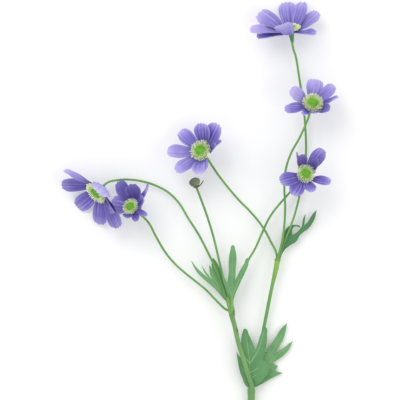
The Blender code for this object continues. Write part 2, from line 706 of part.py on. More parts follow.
def leaf_height(x, y, values):
    """How high the blade lies: at its level by the foot, then sloping, and arched along its length."""
    foot = Vector(values["foot"])
    reach = max((Vector(point[:2]) - foot.xy).length for point in values["outline"])
    share = (Vector((x, y)) - foot.xy).length / reach
    tilt_x, tilt_y = values["tilt"]
    slope = (tilt_x * (x - foot.x) + tilt_y * (y - foot.y)) / 10
    return values["level"] + slope + values["arch"] * math.sin(math.pi * share)


def leaf_sheet(name, outline):
    """The flat blade inside its outline, facing up, in one face or a few."""
    guide, curve, spline = bezier(name, [(x, y, 0, corner) for x, y, corner in outline], "2D")
    curve.fill_mode = "BOTH"
    curve.resolution_u = LEAF_CURVE_STEPS
    spline.use_cyclic_u = True
    bm = bmesh.new()
    bm.from_mesh(mesh_of_guide(guide, name))
    return bm


def cut_across(bm, axis):
    """Cuts a flat sheet into even bands along an axis, so that it can bend."""
    places = [vertex.co[axis] for vertex in bm.verts]
    normal = Vector((0, 0, 0))
    normal[axis] = 1
    step = LEAF_GRID * MM
    place = min(places) + step
    while place < max(places) - 0.3 * step:
        bmesh.ops.bisect_plane(bm, geom=bm.verts[:] + bm.edges[:] + bm.faces[:], dist=LEAF_SNAP * MM,
                               plane_co=normal * place, plane_no=normal)
        place += step


def leaf(name, values):
    """A cut leaf: its outline filled, split into triangles, arched, thickened and joined to its petiole."""
    bm = leaf_sheet(name, values["outline"])
    cut_across(bm, 0)
    cut_across(bm, 1)
    bmesh.ops.triangulate(bm, faces=bm.faces)
    if sum(face.normal.z for face in bm.faces) < 0:
        bmesh.ops.reverse_faces(bm, faces=bm.faces)
    for vertex in bm.verts:
        vertex.co.z = leaf_height(vertex.co.x / MM, vertex.co.y / MM, values) * MM
    blade = put(name, mesh_from(bm, name), LEAF_GREEN)
    thicken(blade, LEAF_THICKNESS)
    foot = Vector(values["foot"])
    into = (Vector(values["outline"][0][:2]) + Vector(values["outline"][-1][:2])) / 2
    far = into + (into - foot.xy).normalized() * PETIOLE_INTO
    way = (
        (*foot, 1.0),
        (*into, leaf_height(*into, values), 1.0),
        (*far, leaf_height(*far, values), PETIOLE_TIP),
    )
    united(blade, [tube(name + "_petiole", way, PETIOLE_RADIUS, STALK_SIDES, LEAF_GREEN)])


def stems():
    """The main stem, and its two branches with the bract tips on the left one."""
    tube("main_stem", STEM_ROUTE, STEM_RADIUS, STEM_SIDES, STEM_GREEN, turn=math.pi / 8,
         straight=STEM_STRAIGHT_POINTS)
    left = tube("branch_left", BRANCH_LEFT_ROUTE, BRANCH_LEFT_RADIUS, STEM_SIDES, STEM_GREEN)
    united(left, [spur(f"spur_{n}", foot, tip) for n, (foot, tip) in enumerate(SPURS)])
    tube("branch_right", BRANCH_RIGHT_ROUTE, BRANCH_RIGHT_RADIUS, STEM_SIDES, STEM_GREEN)


clear_scene()
SPRAY = collection("cosmos_spray")
stems()
JOINTS = {"left": branch_end(BRANCH_LEFT_ROUTE), "right": branch_end(BRANCH_RIGHT_ROUTE)}
for flower_name, flower_values in FLOWERS.items():
    flower(flower_name, flower_values, JOINTS)
bud(JOINTS["left"])
for leaf_name, leaf_values in LEAVES.items():
    leaf(leaf_name, leaf_values)
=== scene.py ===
"""The looks of a cosmos spray on a pale table: petals, stamens, centres, stalks and cut leaves.

Metres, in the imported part's own frame: +Y runs up the spray and +Z is up. Lengths in the tables are
in millimetres and angles in degrees, as in the part's source, so that each fine piece lies where its
node lies.
"""

import math
import random

import bpy
from mathutils import Matrix, Vector


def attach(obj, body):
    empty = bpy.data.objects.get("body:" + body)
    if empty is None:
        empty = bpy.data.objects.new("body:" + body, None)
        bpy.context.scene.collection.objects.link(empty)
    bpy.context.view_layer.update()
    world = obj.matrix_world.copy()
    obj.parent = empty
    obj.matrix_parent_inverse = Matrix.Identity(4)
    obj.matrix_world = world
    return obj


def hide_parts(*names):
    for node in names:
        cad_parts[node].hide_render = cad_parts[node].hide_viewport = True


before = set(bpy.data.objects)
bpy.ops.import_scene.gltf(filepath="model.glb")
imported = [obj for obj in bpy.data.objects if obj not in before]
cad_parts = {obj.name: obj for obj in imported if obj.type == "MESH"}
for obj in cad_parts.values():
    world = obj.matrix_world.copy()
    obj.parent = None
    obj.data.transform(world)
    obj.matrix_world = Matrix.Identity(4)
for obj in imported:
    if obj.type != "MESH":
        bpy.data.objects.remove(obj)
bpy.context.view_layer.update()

MM = 0.001
GAP = 0.3  # clearance between neighbouring pieces

# Stems: x, y, z and a share of the radius at each point
STEM_RADIUS = 3.5
FLAT_HEIGHT = STEM_RADIUS * math.cos(math.pi / 8)
STEM_ROUTE = (
    (0, -12, FLAT_HEIGHT, 1.0),
    (0, 12, FLAT_HEIGHT, 1.0),
    (0.2, 40, 4.9, 1.0),
    (0.4, 58, 6.7, 1.03),
    (0.4, 62.6, 7.2, 1.1),
    (0.4, 65, 7.4, 1.08),
    (0.4, 67, 7.6, 0.85),
    (0.4, 68.4, 7.7, 0.4),
)
BRANCH_LEFT_RADIUS = 2.3
BRANCH_LEFT_ROUTE = (
    (1.4, 65.6, 10.4, 1.0),
    (0.9, 69, 10.9, 1.0),
    (-2, 78, 12.9, 1.02),
    (-6.5, 93, 15.0, 1.04),
    (-12.5, 112, 15.8, 1.0),
    (-16.4, 129, 15, 1.02),
    (-18.3, 136, 14.7, 1.08),
    (-19.5, 141, 14.5, 1.18),
)
BRANCH_RIGHT_RADIUS = 1.75
BRANCH_RIGHT_ROUTE = (
    (-0.8, 65.9, 4.9, 1.0),
    (-0.5, 69, 4.9, 1.0),
    (3.5, 82, 5.0, 1.0),
    (8.6, 105, 5.3, 0.97),
    (14.6, 135, 6.6, 0.97),
    (21.1, 168, 8.5, 1.0),
    (25.3, 187, 9.6, 1.45),
    (26.9, 196, 10.1, 1.6),
)
BRANCH_LEFT_ROOT = (1.3, 61, 8.4, 0.9)  # inside the main stem's top
BRANCH_RIGHT_ROOT = (-0.8, 61, 5.8, 0.9)
LEFT_SLEEVE = (  # the sheath round the stalks that rise from the left joint: x, y, z and radius
    (-19.2, 139.5, 14.5, 2.4), (-20.0, 143.5, 14.7, 2.8), (-21.0, 148.5, 15.2, 2.6),
    (-22.0, 153.5, 15.7, 2.1), (-22.8, 157.5, 16.1, 1.5),
)
SPURS = (  # dry bract tips beside the left joint, from foot to tip
    ((-16.8, 139.5, 15.9), (-17.3, 148.6, 17.8)),
    ((-13.2, 120.5, 16.6), (-14.0, 127.5, 17.6)),
)

# Stalks
STALK_RADIUS = 1.1
STALK_ROOT = 0.95
STALK_TOP = 1.1
STALK_LEAVE = 2.0
STALK_INSIDE = 1.5  # how far its root reaches into the branch
STALK_APPROACH = 5.0
SCAR_BACK = 1.2  # how far before a branch's end its scar lies
SPUR_RADIUS = 0.8

# Petals
PETAL_GRID = (30, 44)  # strips across and along
PETAL_STEPS = 10  # along the midline
PETAL_THICKNESS = 0.32
PETAL_ROOT = 3.0
PETAL_FLAT = 3.4
PETAL_LIFT_OVER = 7.0
PETAL_CUP_OVER = 11.0
PETAL_STAGGER = 0.35
PETAL_WIDEST = 0.7
PETAL_ROOT_WIDTH = 0.3
PETAL_TIP_LOSS = 0.17
PETAL_TIP_ROUNDING = (0.03, 0.09)
LEAST_BEND = 0.02
PLEATS = 5  # grooves across a petal
PLEAT_DEPTH = 0.2
FINE_VEINS = 17  # across a petal
SURFACE_CLEAR = 0.35
SURFACE_BEND = 2.5

# Flower centres
HUB_RADIUS = 4.4
HUB_HALF = 1.0
CUSHION_RADIUS = 7.6
CUSHION_HEIGHT = 1.2
CUSHION_FOOT = 0.55
STAMEN_RINGS = (  # share of the cushion's radius, lean, length and count
    (0.72, 2, 2.2, 26), (0.78, 14, 2.6, 32), (0.84, 26, 3.0, 36), (0.90, 40, 3.3, 38), (0.95, 54, 3.3, 38))
BUTTON_RADIUS = 5.3
BUTTON_HEIGHT = 3.4
PIP_COUNT = 120
PIP_SPREAD = 0.92  # how far down the dome the pips reach
DOME_WIDE, DOME_HIGH = 0.97, 0.9  # the dome under the pips, as shares of the button
FILAMENT_RADII = (0.42, 0.28)
ANTHER = (0.5, 0.44, 0.95)
ANTHER_ASIDE = 0.1
PIP = (0.5, 0.5, 0.6)
PIP_RAISED = 0.1
CALYX_PROFILE = (  # radius, and share of the length
    (3.2, 0.0), (2.9, 0.1), (2.6, 0.25), (2.2, 0.5), (1.9, 0.78), (1.45, 1.0))

# Flowers, as in the part's source. tones says how pale or dark each petal is, from -1 to 1: partly the
# petal's own tone and partly painted shade on petals that lie in shadow.
PETAL_VALUES = ("azimuth", "reach", "width", "lift", "curl", "cup", "twist")
FLOWERS = {
    "flower_1": {
        "hub": (40, 423.6, 23), "lean": 97, "tilt": 66, "joint": "right", "seat": (1.3, -0.75),
        "centre": 0.94, "button": 1.0, "calyx": 10.5,
        "route": (
            (34.2, 215, 8.6), (40.8, 231, 8.2), (46.6, 250, 6.0), (49.4, 262, 4.6), (53.2, 277, 4.0),
            (55.2, 300, 4.6), (54.4, 330, 6.5), (51.8, 355, 8.5), (48, 380, 10.5), (45, 398, 13),
        ),
        "petals": (
            (1, 41, 19, 33, 4, 30, 0), (59, 40, 20, 31, 0, 35, -29), (98, 35, 24, 0, 0, 30, 0),
            (93, 42, 16, 15, -6, 40, -20), (159, 34, 20, 46, 10, 40, 24), (232, 30, 13, 2, 0, 50, 4),
            (297, 36, 14, 21, 12, 20, 35), (325, 37, 17, 46, 4, 35, 0),
        ),
        "tones_and_shade": (0.2, 0.35, -0.1, 0.6, 0.3, -0.1, 0.4, 0.15),
    },
    "flower_2": {
        "hub": (61.3, 350.4, 27), "lean": 75, "tilt": 30, "joint": "right", "seat": (0, 1.5),
        "centre": 1.03, "button": 1.08, "calyx": 6.4,
        "route": (
            (32, 218, 13), (34.2, 245, 15), (33.4, 270, 14.5), (34.4, 283, 13), (39.4, 300, 12.5),
            (49.6, 319, 13), (56.6, 335, 15),
        ),
        "petals": (
            (7, 28, 18, 21, -14, 30, 0), (323, 30, 13, 31, -6, 30, 0), (288, 30, 9, 45, 0, 45, -37),
            (251, 24, 13, 54, -6, 50, 24), (202, 25, 12, 66, 0, 40, 0), (159, 21, 9, 43, -24, 60, -9),
            (122, 32, 12, 17, 0, 45, -48), (81, 28, 17, 32, -8, 40, 0),
        ),
        "tones_and_shade": (0.5, 0.3, 0, -0.4, -0.2, 0, 0.1, 0.8),
    },
    "flower_3": {
        "hub": (53.9, 280.2, 30), "lean": 60, "tilt": 20, "joint": "left", "seat": (1.25, -1.25),
        "centre": 0.92, "button": 0.98, "calyx": 6.4,
        "route": (
            (-18.2, 156, 11.4), (-11, 174, 11.2), (-3.5, 193, 11), (4, 206, 10.2), (13, 226, 9.0),
            (19, 238, 9.0), (27, 249, 9.2), (35, 258, 9.6), (42, 266, 10.4),
        ),
        "petals": (
            (355, 33, 15, 34, 4, 30, 6), (47, 25, 12, 58, 4, 40, -9), (63, 30, 7, 49, 20, 50, 60),
            (140, 30, 16, 21, -6, 35, 0), (179, 27, 16, 16, -10, 30, 0), (224, 23, 13, 37, -8, 30, 0),
            (275, 30, 10, 41, -8, 35, 13), (338, 24, 14, 66, 6, 50, -38),
        ),
        "tones_and_shade": (-0.25, -0.6, -0.7, -0.3, -0.2, -0.1, -0.2, -0.7),
    },
    "flower_4": {
        "hub": (-49.5, 303.6, 24), "lean": 135, "tilt": 24, "joint": "right", "seat": (-1.3, -0.75),
        "centre": 1.03, "button": 1.12, "calyx": 6.4,
        "route": (
            (19.5, 214, 11.5), (11, 229, 12.6), (-0.4, 243, 13), (-12, 254.8, 12.5), (-30.2, 276.8, 10),
            (-38.6, 288.8, 8.6),
        ),
        "petals": (
            (1, 32, 15, 9, -2, 30, 0), (48, 35, 15, 23, -2, 35, 0), (92, 35, 15, 28, -4, 30, 0),
            (141, 30, 18, 32, -4, 35, 0), (226, 30, 9, 60, 0, 50, -6), (233, 32, 10, 46, 0, 40, -43),
            (275, 34, 19, 29, -2, 25, 0), (305, 31, 18, 45, -2, 30, 0),
        ),
        "tones_and_shade": (0.1, 0.4, 0.3, 0.3, -0.3, -0.3, 0, -0.1),
    },
    "flower_5": {
        "hub": (-152.5, 264.5, 19.5), "lean": 222, "tilt": 64, "joint": "left", "seat": (-1.25, 1.25),
        "centre": 1.2, "button": 1.2, "calyx": 6.4,
        "route": (
            (-25.7, 160, 16.0), (-30.4, 174, 15.7), (-36.6, 189, 15), (-42.4, 201, 14), (-52.2, 220, 12.5),
            (-63, 237, 11), (-72.2, 252, 9.5), (-82, 262, 8), (-93, 268.4, 6.8), (-106, 273, 6),
            (-121, 275.4, 6.5), (-133, 275, 9),
        ),
        "petals": (
            (356, 36, 18, 38, -2, 35, 0), (49, 38, 17, 27, -2, 30, -25), (96, 44, 19, 21, 0, 30, -31),
            (109, 30, 14, 24, -8, 50, 10), (178, 38, 24, -1, 105, 35, 17), (267, 42, 7, 27, 0, 36, 100),
            (294, 40, 17, 41, 0, 30, 25),
        ),
        "tones_and_shade": (-0.3, -0.4, -0.45, -0.4, 0.45, 0.45, -0.45),
    },
    "flower_6": {
        "hub": (-119, 247.4, 27), "lean": 140, "tilt": 32, "joint": "left", "seat": (-1.25, -1.25),
        "centre": 0.8, "button": 0.82, "calyx": 6.4,
        "route": (
            (-26.5, 146.4, 13.0), (-34.8, 154.4, 12.6), (-45, 165, 12), (-55.4, 173.6, 12),
            (-66, 182, 11), (-76.5, 191.5, 10), (-86, 203, 10), (-95.4, 219, 10.5), (-102.8, 232.6, 11.5),
        ),
        "petals": (
            (29, 24, 21, 8, 0, 20, 0), (109, 13, 12, 50, -4, 40, 0), (159, 22, 9, 37, -8, 45, -13),
            (189, 22, 7, 14, -8, 50, -24), (237, 19, 16, 44, 0, 40, -9), (257, 34, 10, 13, 54, 50, -41),
            (295, 28, 17, 56, 2, 35, 25), (334, 31, 16, 29, -4, 35, -14),
        ),
        "tones_and_shade": (0.3, -0.35, -0.45, -0.25, 0.1, -0.2, -0.75, -0.6),
    },
}

# Bud
BUD_STEM_END = (-54.2, 267, 13.5)
BUD_AXIS = (-0.33, 0.9, 0.28)
BUD_JOINT_SEAT = (1.25, 1.25)
BUD_ROUTE = ((-22.3, 158, 16.6), (-27.2, 175, 16.8), (-32.5, 197, 16.4), (-37, 216, 15.4), (-43.6, 238, 14))
BUD_RADIUS = 5.8
BUD_TALL = 0.8
BUD_CUP_HEIGHT = 1.6
BUD_CUP = ((0, 0, 0, 1.3), (0, 0, 0.6, 1.9), (0, 0, 1.4, 2.7), (0, 0, 2.1, 3.2))
LOOSE_SEPAL_AZIMUTH = 75
LOOSE_SEPAL_ROUTE = (
    (1.5, 0, 0.7, 1.0), (3.6, 0, 1.7, 1.1), (5.8, 0, 2.8, 1.0), (7.8, 0, 4.4, 1.0), (9.2, 0, 5.6, 0.7))
LOOSE_SEPAL_RADIUS = 0.65

# Leaves, as in the part's source, with the lines of their veins. veins_pale says how much the veins stand
# out, dark how deep the green is, partly the leaf's own green and partly painted shade on leaves that lie
# in shadow, and petiole how thick the petiole is.
LEAF_CELL = 1.1
LEAF_THICKNESS = 0.4
LEAF_STEPS = 8
LEAF_FOLD = (0.13, 5)  # how steeply a lobe rises from its vein, and how far from it
VEIN_RADIUS = 0.42
VEIN_TIP = 0.35  # share of the radius at its end
PETIOLE_RADIUS = 0.95
PETIOLE_INTO = 9.0
LEAVES = {
    "leaf_low_front": {
        "foot": (3.7, 65.9, 7.4), "level": 7.5, "tilt": (0.1, 0.2), "arch": 1.0,
        "veins_pale": 1.0, "dark": 0.55, "petiole": 1.0,
        "outline": (
            (-0.8, 66.8, 1), (-4.6, 68.6, 0), (-8.6, 76.5, 0), (-11.5, 85, 0), (-13.2, 94, 0),
            (-14.6, 103, 1), (-11, 98, 0), (-8.6, 96, 1), (-9.9, 104, 0), (-9.9, 113, 0),
            (-8.6, 121.5, 0), (-5.9, 126.1, 0), (-2, 120, 0), (1.8, 111.5, 0), (4.6, 104.4, 1),
            (7, 111.5, 0), (9.8, 120.5, 0), (14.6, 127.2, 0), (16.2, 119, 0), (15, 107, 0),
            (11.9, 95, 1), (15.4, 92.5, 0), (20.4, 88, 1), (15.5, 79, 0), (10.5, 73, 0),
            (5.6, 68.4, 1),
        ),
        "veins": (
            ((2.6, 66), (-0.6, 73), (-1.2, 91), (-3.8, 112), (-6, 123)),
            ((-1.2, 91), (7.6, 105), (13, 123)),
            ((-1.2, 91), (-5.6, 97.6), (-8, 103)),
            ((-0.9, 82), (8, 87)),
            ((-0.6, 76), (5.5, 80)),
            ((-0.9, 79), (-7, 84.6), (-9.8, 88)),
        ),
    },
    "leaf_low_back": {
        "foot": (2.4, 65.8, 4.2), "level": 2.4, "tilt": (-0.3, 0.2), "arch": 0.4,
        "veins_pale": 0.3, "dark": 0.0, "petiole": 1.0,
        "outline": (
            (4.6, 67.2, 1), (12, 71, 0), (21, 76.2, 0), (32.2, 81.6, 1), (24.3, 83.4, 1),
            (27, 88.8, 1), (21.3, 91.6, 1), (26.5, 94.6, 0), (33, 99.3, 0), (38.3, 105.3, 0),
            (42.4, 114, 1), (36, 109, 0), (28.4, 103.6, 0), (23.2, 99.4, 1), (28, 107, 0),
            (33, 117, 0), (36.4, 131.9, 1), (31, 126.6, 0), (24.8, 117.3, 0), (17.6, 106, 0),
            (12, 96.5, 0), (8.2, 86, 0), (4.4, 73, 1),
        ),
        "veins": (
            ((3.6, 67), (12, 85), (21.6, 103), (33, 124)),
            ((14, 89), (22.6, 95.6), (31, 104), (39, 111.6)),
            ((8, 76.5), (18, 79.6), (28, 82.4)),
            ((11, 83), (19, 87.6), (25, 89.4)),
        ),
    },
    "leaf_mid_left": {
        "foot": (-20.8, 141.6, 10.9), "level": 10.9, "tilt": (-0.4, 0.0), "arch": 0.8,
        "veins_pale": 0.25, "dark": 0.25, "petiole": 1.2,
        "outline": (
            (-23.6, 152, 1), (-29, 158, 0), (-36.5, 166.5, 0), (-44, 173, 0), (-51, 179.2, 0),
            (-56, 185.6, 0), (-60.2, 194.7, 1), (-55, 188.2, 0), (-48.6, 181.8, 0), (-42.6, 176.6, 1),
            (-47, 183.4, 0), (-49.5, 190.2, 1), (-46, 184.6, 0), (-38.8, 175.1, 1), (-41.2, 182, 0),
            (-41.8, 190.1, 1), (-39.8, 187.6, 0), (-38.7, 184.4, 1), (-39.4, 191, 0), (-38.2, 197.4, 1),
            (-33.9, 192.4, 0), (-30.6, 185, 0), (-27.2, 174.4, 0), (-23.6, 164, 0), (-21.4, 153, 1),
        ),
        "veins": (
            ((-21.4, 146), (-26, 156.6), (-38, 170.6), (-51, 182), (-59, 193.6)),
            ((-33, 165.4), (-43, 179), (-48.5, 188)),
            ((-29, 160.4), (-38, 179.6), (-42, 187.6)),
            ((-25.4, 156), (-33, 177), (-37.6, 194)),
        ),
    },
    "leaf_mid_right": {
        "foot": (-19.1, 142.2, 18.0), "level": 18.4, "tilt": (0.3, 0.2), "arch": 0.4,
        "veins_pale": 0.3, "dark": 0.3, "petiole": 1.6,
        "outline": (
            (-18, 153, 1), (-16.2, 161, 0), (-11.8, 170.5, 0), (-5.8, 182.5, 0), (-2.6, 191.3, 0),
            (-3, 196.9, 0), (-7.2, 190.8, 0), (-12, 182.6, 0), (-15.6, 175, 1), (-15.3, 185, 0),
            (-14.6, 195.5, 0), (-15.6, 204.6, 0), (-18.2, 209.8, 0), (-20.8, 204, 0), (-22.3, 194, 0),
            (-22.4, 183, 0), (-23.6, 172.8, 1), (-26.4, 177.4, 0), (-29.2, 183.4, 1), (-28.4, 176, 0),
            (-25.4, 167, 0), (-22, 159, 0), (-20, 153, 1),
        ),
        "veins": (
            ((-19.1, 146), (-19, 158), (-18.9, 175), (-18.2, 207)),
            ((-19, 158), (-12.6, 174), (-4.4, 194)),
            ((-19.2, 160), (-24, 172), (-28.2, 181)),
        ),
    },
    "leaf_top": {
        "foot": (27.6, 194.6, 6.3), "level": 6.3, "tilt": (-0.4, 0.0), "arch": 0.2,
        "veins_pale": 0.2, "dark": 1.0, "petiole": 1.9,
        "outline": (
            (29.8, 197.4, 1), (33.4, 204.4, 0), (38.4, 209, 0), (45.6, 213.6, 0), (48.9, 219.2, 0),
            (52, 222.2, 0), (58.6, 227.4, 0), (63.8, 236, 0), (66.1, 245.3, 1), (61.2, 239.8, 0),
            (56.6, 232.6, 0), (53.4, 229.6, 1), (54.2, 235, 0), (54.9, 241.4, 1), (52.3, 236, 0),
            (50.9, 228.4, 0), (48.4, 225, 0), (44.4, 221.4, 0), (41.7, 219.9, 1), (41.2, 224, 0),
            (42.6, 227.4, 0), (45.4, 228.5, 0), (49.8, 226.8, 1), (48.6, 229.2, 0), (45, 230.1, 0),
            (40.5, 229.6, 0), (36.2, 227.2, 0), (33, 221.5, 0), (30.6, 211, 0), (27.8, 199, 1),
        ),
        "veins": (
            ((28, 196), (31.6, 204.6), (38.6, 214), (47.4, 220.6), (56.4, 228.6), (65.4, 243.6)),
            ((34.6, 209.6), (37, 219), (39.8, 227), (46, 228.8)),
            ((52.4, 226), (53.6, 232), (54.6, 239.4)),
        ),
    },
}

# Camera, straight above: one pixel is one millimetre at the flowers' height
VIEW_CENTRE = (-0.051, 0.255)
VIEW_WIDTH = 0.4
VIEW_HEIGHT = 6.0
FLOWER_LEVEL = 0.02
SENSOR = 36.0
TABLE_SIZE = 14
TABLE_DROP = 0.0003  # how far under the spray the table lies
DAYLIGHT = 0.9
LAMPS = {"key": ((-0.9, 1.6, 1.9), 1.6, 15), "fill": ((1.4, -0.4, 1.6), 1.6, 6)}  # place, width, power


def pick(*objects):
    """Selects these objects and nothing else, with the first one active."""
    bpy.ops.object.select_all(action="DESELECT")
    for obj in objects:
        obj.select_set(True)
    bpy.context.view_layer.objects.active = objects[0]


def named(name):
    """Names the primitive that was just added."""
    made = bpy.context.object
    made.name = made.data.name = name
    return made


def apply_modifiers(obj):
    pick(obj)
    for modifier in list(obj.modifiers):
        bpy.ops.object.modifier_apply(modifier=modifier.name)


def in_edit(obj, *steps):
    """Runs edit-mode steps on the whole of a piece."""
    pick(obj)
    bpy.ops.object.mode_set(mode="EDIT")
    for step in steps:
        bpy.ops.mesh.select_all(action="SELECT")
        step()
    bpy.ops.object.mode_set(mode="OBJECT")


def merge():
    bpy.ops.mesh.remove_doubles(threshold=0.000005)


def face_outwards():
    bpy.ops.mesh.normals_make_consistent(inside=False)


def triangulate():
    bpy.ops.mesh.quads_convert_to_tris(quad_method="BEAUTY", ngon_method="BEAUTY")


def smooth_shade(obj, angle=60):
    pick(obj)
    bpy.ops.object.shade_smooth_by_angle(angle=math.radians(angle))


def place(obj, matrix):
    """Moves a piece's mesh, and leaves its object at the origin."""
    obj.data.transform(matrix)
    obj.data.update()
    return obj


def copy_of(pattern, name, matrix=None):
    """A copy of a finished pattern with its own mesh, moved by the matrix."""
    made = bpy.data.objects.new(name, pattern.data.copy())
    bpy.context.scene.collection.objects.link(made)
    if matrix is not None:
        place(made, matrix)
    return made


def drop(*objects):
    for obj in objects:
        bpy.data.objects.remove(obj)


def joined(name, pieces):
    pick(*pieces)
    bpy.ops.object.join()
    return named(name)


def paint(obj, *materials):
    obj.data.materials.clear()
    for made in materials:
        obj.data.materials.append(made)
    return obj


def hand_over(piece, node):
    """The finished piece stands for its CAD node."""
    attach(piece, "root")
    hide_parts(node)


# Materials


def wire(tree, socket, value):
    """Links an output to the socket, or sets the socket's own value."""
    if isinstance(value, bpy.types.NodeSocket):
        tree.links.new(value, socket)
    else:
        socket.default_value = value


def calc(tree, operation, *values):
    node = tree.nodes.new("ShaderNodeMath")
    node.operation = operation
    for socket, value in zip(node.inputs, values):
        wire(tree, socket, value)
    return node.outputs[0]


def blend(tree, share, low, high, way="MIX"):
    node = tree.nodes.new("ShaderNodeMix")
    node.data_type = "RGBA"
    node.blend_type = way
    wire(tree, node.inputs[0], share)
    wire(tree, node.inputs[6], low)
    wire(tree, node.inputs[7], high)
    return node.outputs[2]


def ramp(tree, share, stops):
    """A colour for each share: stops are (share, colour)."""
    node = tree.nodes.new("ShaderNodeValToRGB")
    elements = node.color_ramp.elements
    while len(elements) < len(stops):
        elements.new(0.5)
    for element, (at, colour) in zip(elements, stops):
        element.position = at
        element.color = (*colour, 1)
    wire(tree, node.inputs[0], share)
    return node.outputs[0]


def grey(value):
    return (value, value, value)


def noise(tree, scale, detail=3.0, stretch=(1, 1, 1), source="Object", own=None):
    """Noise on the piece's coordinates. own, if given, picks another pattern by value."""
    coordinates = tree.nodes.new("ShaderNodeTexCoord")
    mapping = tree.nodes.new("ShaderNodeMapping")
    mapping.inputs["Scale"].default_value = stretch
    tree.links.new(coordinates.outputs[source], mapping.inputs["Vector"])
    node = tree.nodes.new("ShaderNodeTexNoise")
    node.inputs["Scale"].default_value = scale
    node.inputs["Detail"].default_value = detail
    tree.links.new(mapping.outputs["Vector"], node.inputs["Vector"])
    if own is not None:
        node.noise_dimensions = "4D"
        tree.links.new(own, node.inputs["W"])
    return node.outputs["Fac"]


def uv_sides(tree):
    """Across and along, from the piece's UV map."""
    coordinates = tree.nodes.new("ShaderNodeTexCoord")
    split = tree.nodes.new("ShaderNodeSeparateXYZ")
    tree.links.new(coordinates.outputs["UV"], split.inputs[0])
    return split.outputs[0], split.outputs[1]


def attribute(tree, name):
    node = tree.nodes.new("ShaderNodeAttribute")
    node.attribute_name = name
    return node.outputs["Fac"]


def finish_look(name, roughness, sheen=0.0, specular=0.35):
    """A new material and its shader."""
    made = bpy.data.materials.new(name)
    made.use_nodes = True
    shader = made.node_tree.nodes.get("Principled BSDF")
    shader.inputs["Roughness"].default_value = roughness
    shader.inputs["Sheen Weight"].default_value = sheen
    shader.inputs["Specular IOR Level"].default_value = specular
    return made, made.node_tree, shader


def raise_surface(tree, shader, height, strength, distance):
    bump = tree.nodes.new("ShaderNodeBump")
    bump.inputs["Strength"].default_value = strength
    bump.inputs["Distance"].default_value = distance * MM
    tree.links.new(height, bump.inputs["Height"])
    tree.links.new(bump.outputs[0], shader.inputs["Normal"])


def petal_look(name, stops, vein_and_shade_colour, pale, dark, vein_and_shade_strength):
    """Violet petal tissue: paler to the tip and the edge, with fine veins that run its length, painted
    shade in the grooves of its pleats, and a tone for each petal that is partly its own and partly painted
    shade.
    """
    made, tree, shader = finish_look(name, roughness=0.62, sheen=0.04, specular=0.2)
    across, along = uv_sides(tree)
    body = ramp(tree, along, stops)
    mottle = noise(tree, 160, 4)
    wander = calc(tree, "MULTIPLY", noise(tree, 45, 2), 5.0)
    turns = calc(tree, "MULTIPLY", across, 2 * math.pi * FINE_VEINS)
    fine = calc(tree, "SINE", calc(tree, "ADD", turns, wander))
    fine = calc(tree, "POWER", calc(tree, "MAXIMUM", fine, 0.0), 3.0)
    # painted shade: dark stripes in the grooves where the pleats of the petal's shape dip, added to the
    # veins
    groove_shade = calc(tree, "COSINE", calc(tree, "MULTIPLY", across, 2 * math.pi * PLEATS))
    groove_shade = calc(tree, "POWER", calc(tree, "MAXIMUM", groove_shade, 0.0), 6.0)
    veins_and_groove_shade = calc(tree, "MAXIMUM", calc(tree, "MULTIPLY", fine, 0.5), groove_shade)
    fade = ramp(tree, along, ((0.1, grey(0.5)), (0.45, grey(1)), (0.72, grey(0.6)), (0.98, grey(0.1))))
    veins_and_groove_shade = calc(tree, "MULTIPLY", calc(tree, "MULTIPLY", veins_and_groove_shade, fade), vein_and_shade_strength)
    streaks = noise(tree, 1, 2, (9, 1.4, 1), "UV", attribute(tree, "own"))
    bright = calc(tree, "MULTIPLY", ramp(tree, streaks, ((0.5, grey(0)), (0.72, grey(1)))), 0.5)
    body = blend(tree, bright, body, (*pale, 1))
    dim = calc(tree, "MULTIPLY", ramp(tree, streaks, ((0.28, grey(1)), (0.48, grey(0)))), 0.4)
    body = blend(tree, dim, body, (*vein_and_shade_colour, 1))
    body = blend(tree, veins_and_groove_shade, body, (*vein_and_shade_colour, 1))
    # each petal's tone: paler above 0 and darker below 0, partly its own colour and partly painted shade
    tone_and_shade = attribute(tree, "tone_and_shade")
    to_tip = ramp(tree, along, ((0.2, grey(0.25)), (1.0, grey(1))))
    paleness = calc(tree, "MULTIPLY", calc(tree, "MAXIMUM", tone_and_shade, 0.0), to_tip)
    body = blend(tree, paleness, body, (*pale, 1))
    darkness = calc(tree, "MULTIPLY", calc(tree, "MAXIMUM", calc(tree, "MULTIPLY", tone_and_shade, -1.0), 0.0), 0.9)
    body = blend(tree, darkness, body, (*dark, 1))
    off_middle = calc(tree, "ABSOLUTE", calc(tree, "SUBTRACT", across, 0.5))
    rim = calc(tree, "POWER", calc(tree, "MULTIPLY", off_middle, 2.0), 9.0)
    rim = calc(tree, "MULTIPLY", calc(tree, "MULTIPLY", rim, to_tip), 0.35)
    body = blend(tree, rim, body, (*pale, 1))
    body = blend(tree, 0.35, body, ramp(tree, mottle, ((0.3, grey(0.62)), (0.7, grey(1)))), "MULTIPLY")
    tree.links.new(body, shader.inputs["Base Color"])
    raise_surface(tree, shader, veins_and_groove_shade, 0.35, 0.12)
    return made


def up_spray(tree, start, end):
    """How far up the spray a point lies: 0 at the start and 1 at the end, both in millimetres."""
    coordinates = tree.nodes.new("ShaderNodeTexCoord")
    split = tree.nodes.new("ShaderNodeSeparateXYZ")
    tree.links.new(coordinates.outputs["Object"], split.inputs[0])
    span = tree.nodes.new("ShaderNodeMapRange")
    wire(tree, span.inputs["Value"], split.outputs[1])
    wire(tree, span.inputs["From Min"], start * MM)
    wire(tree, span.inputs["From Max"], end * MM)
    return span.outputs[0]


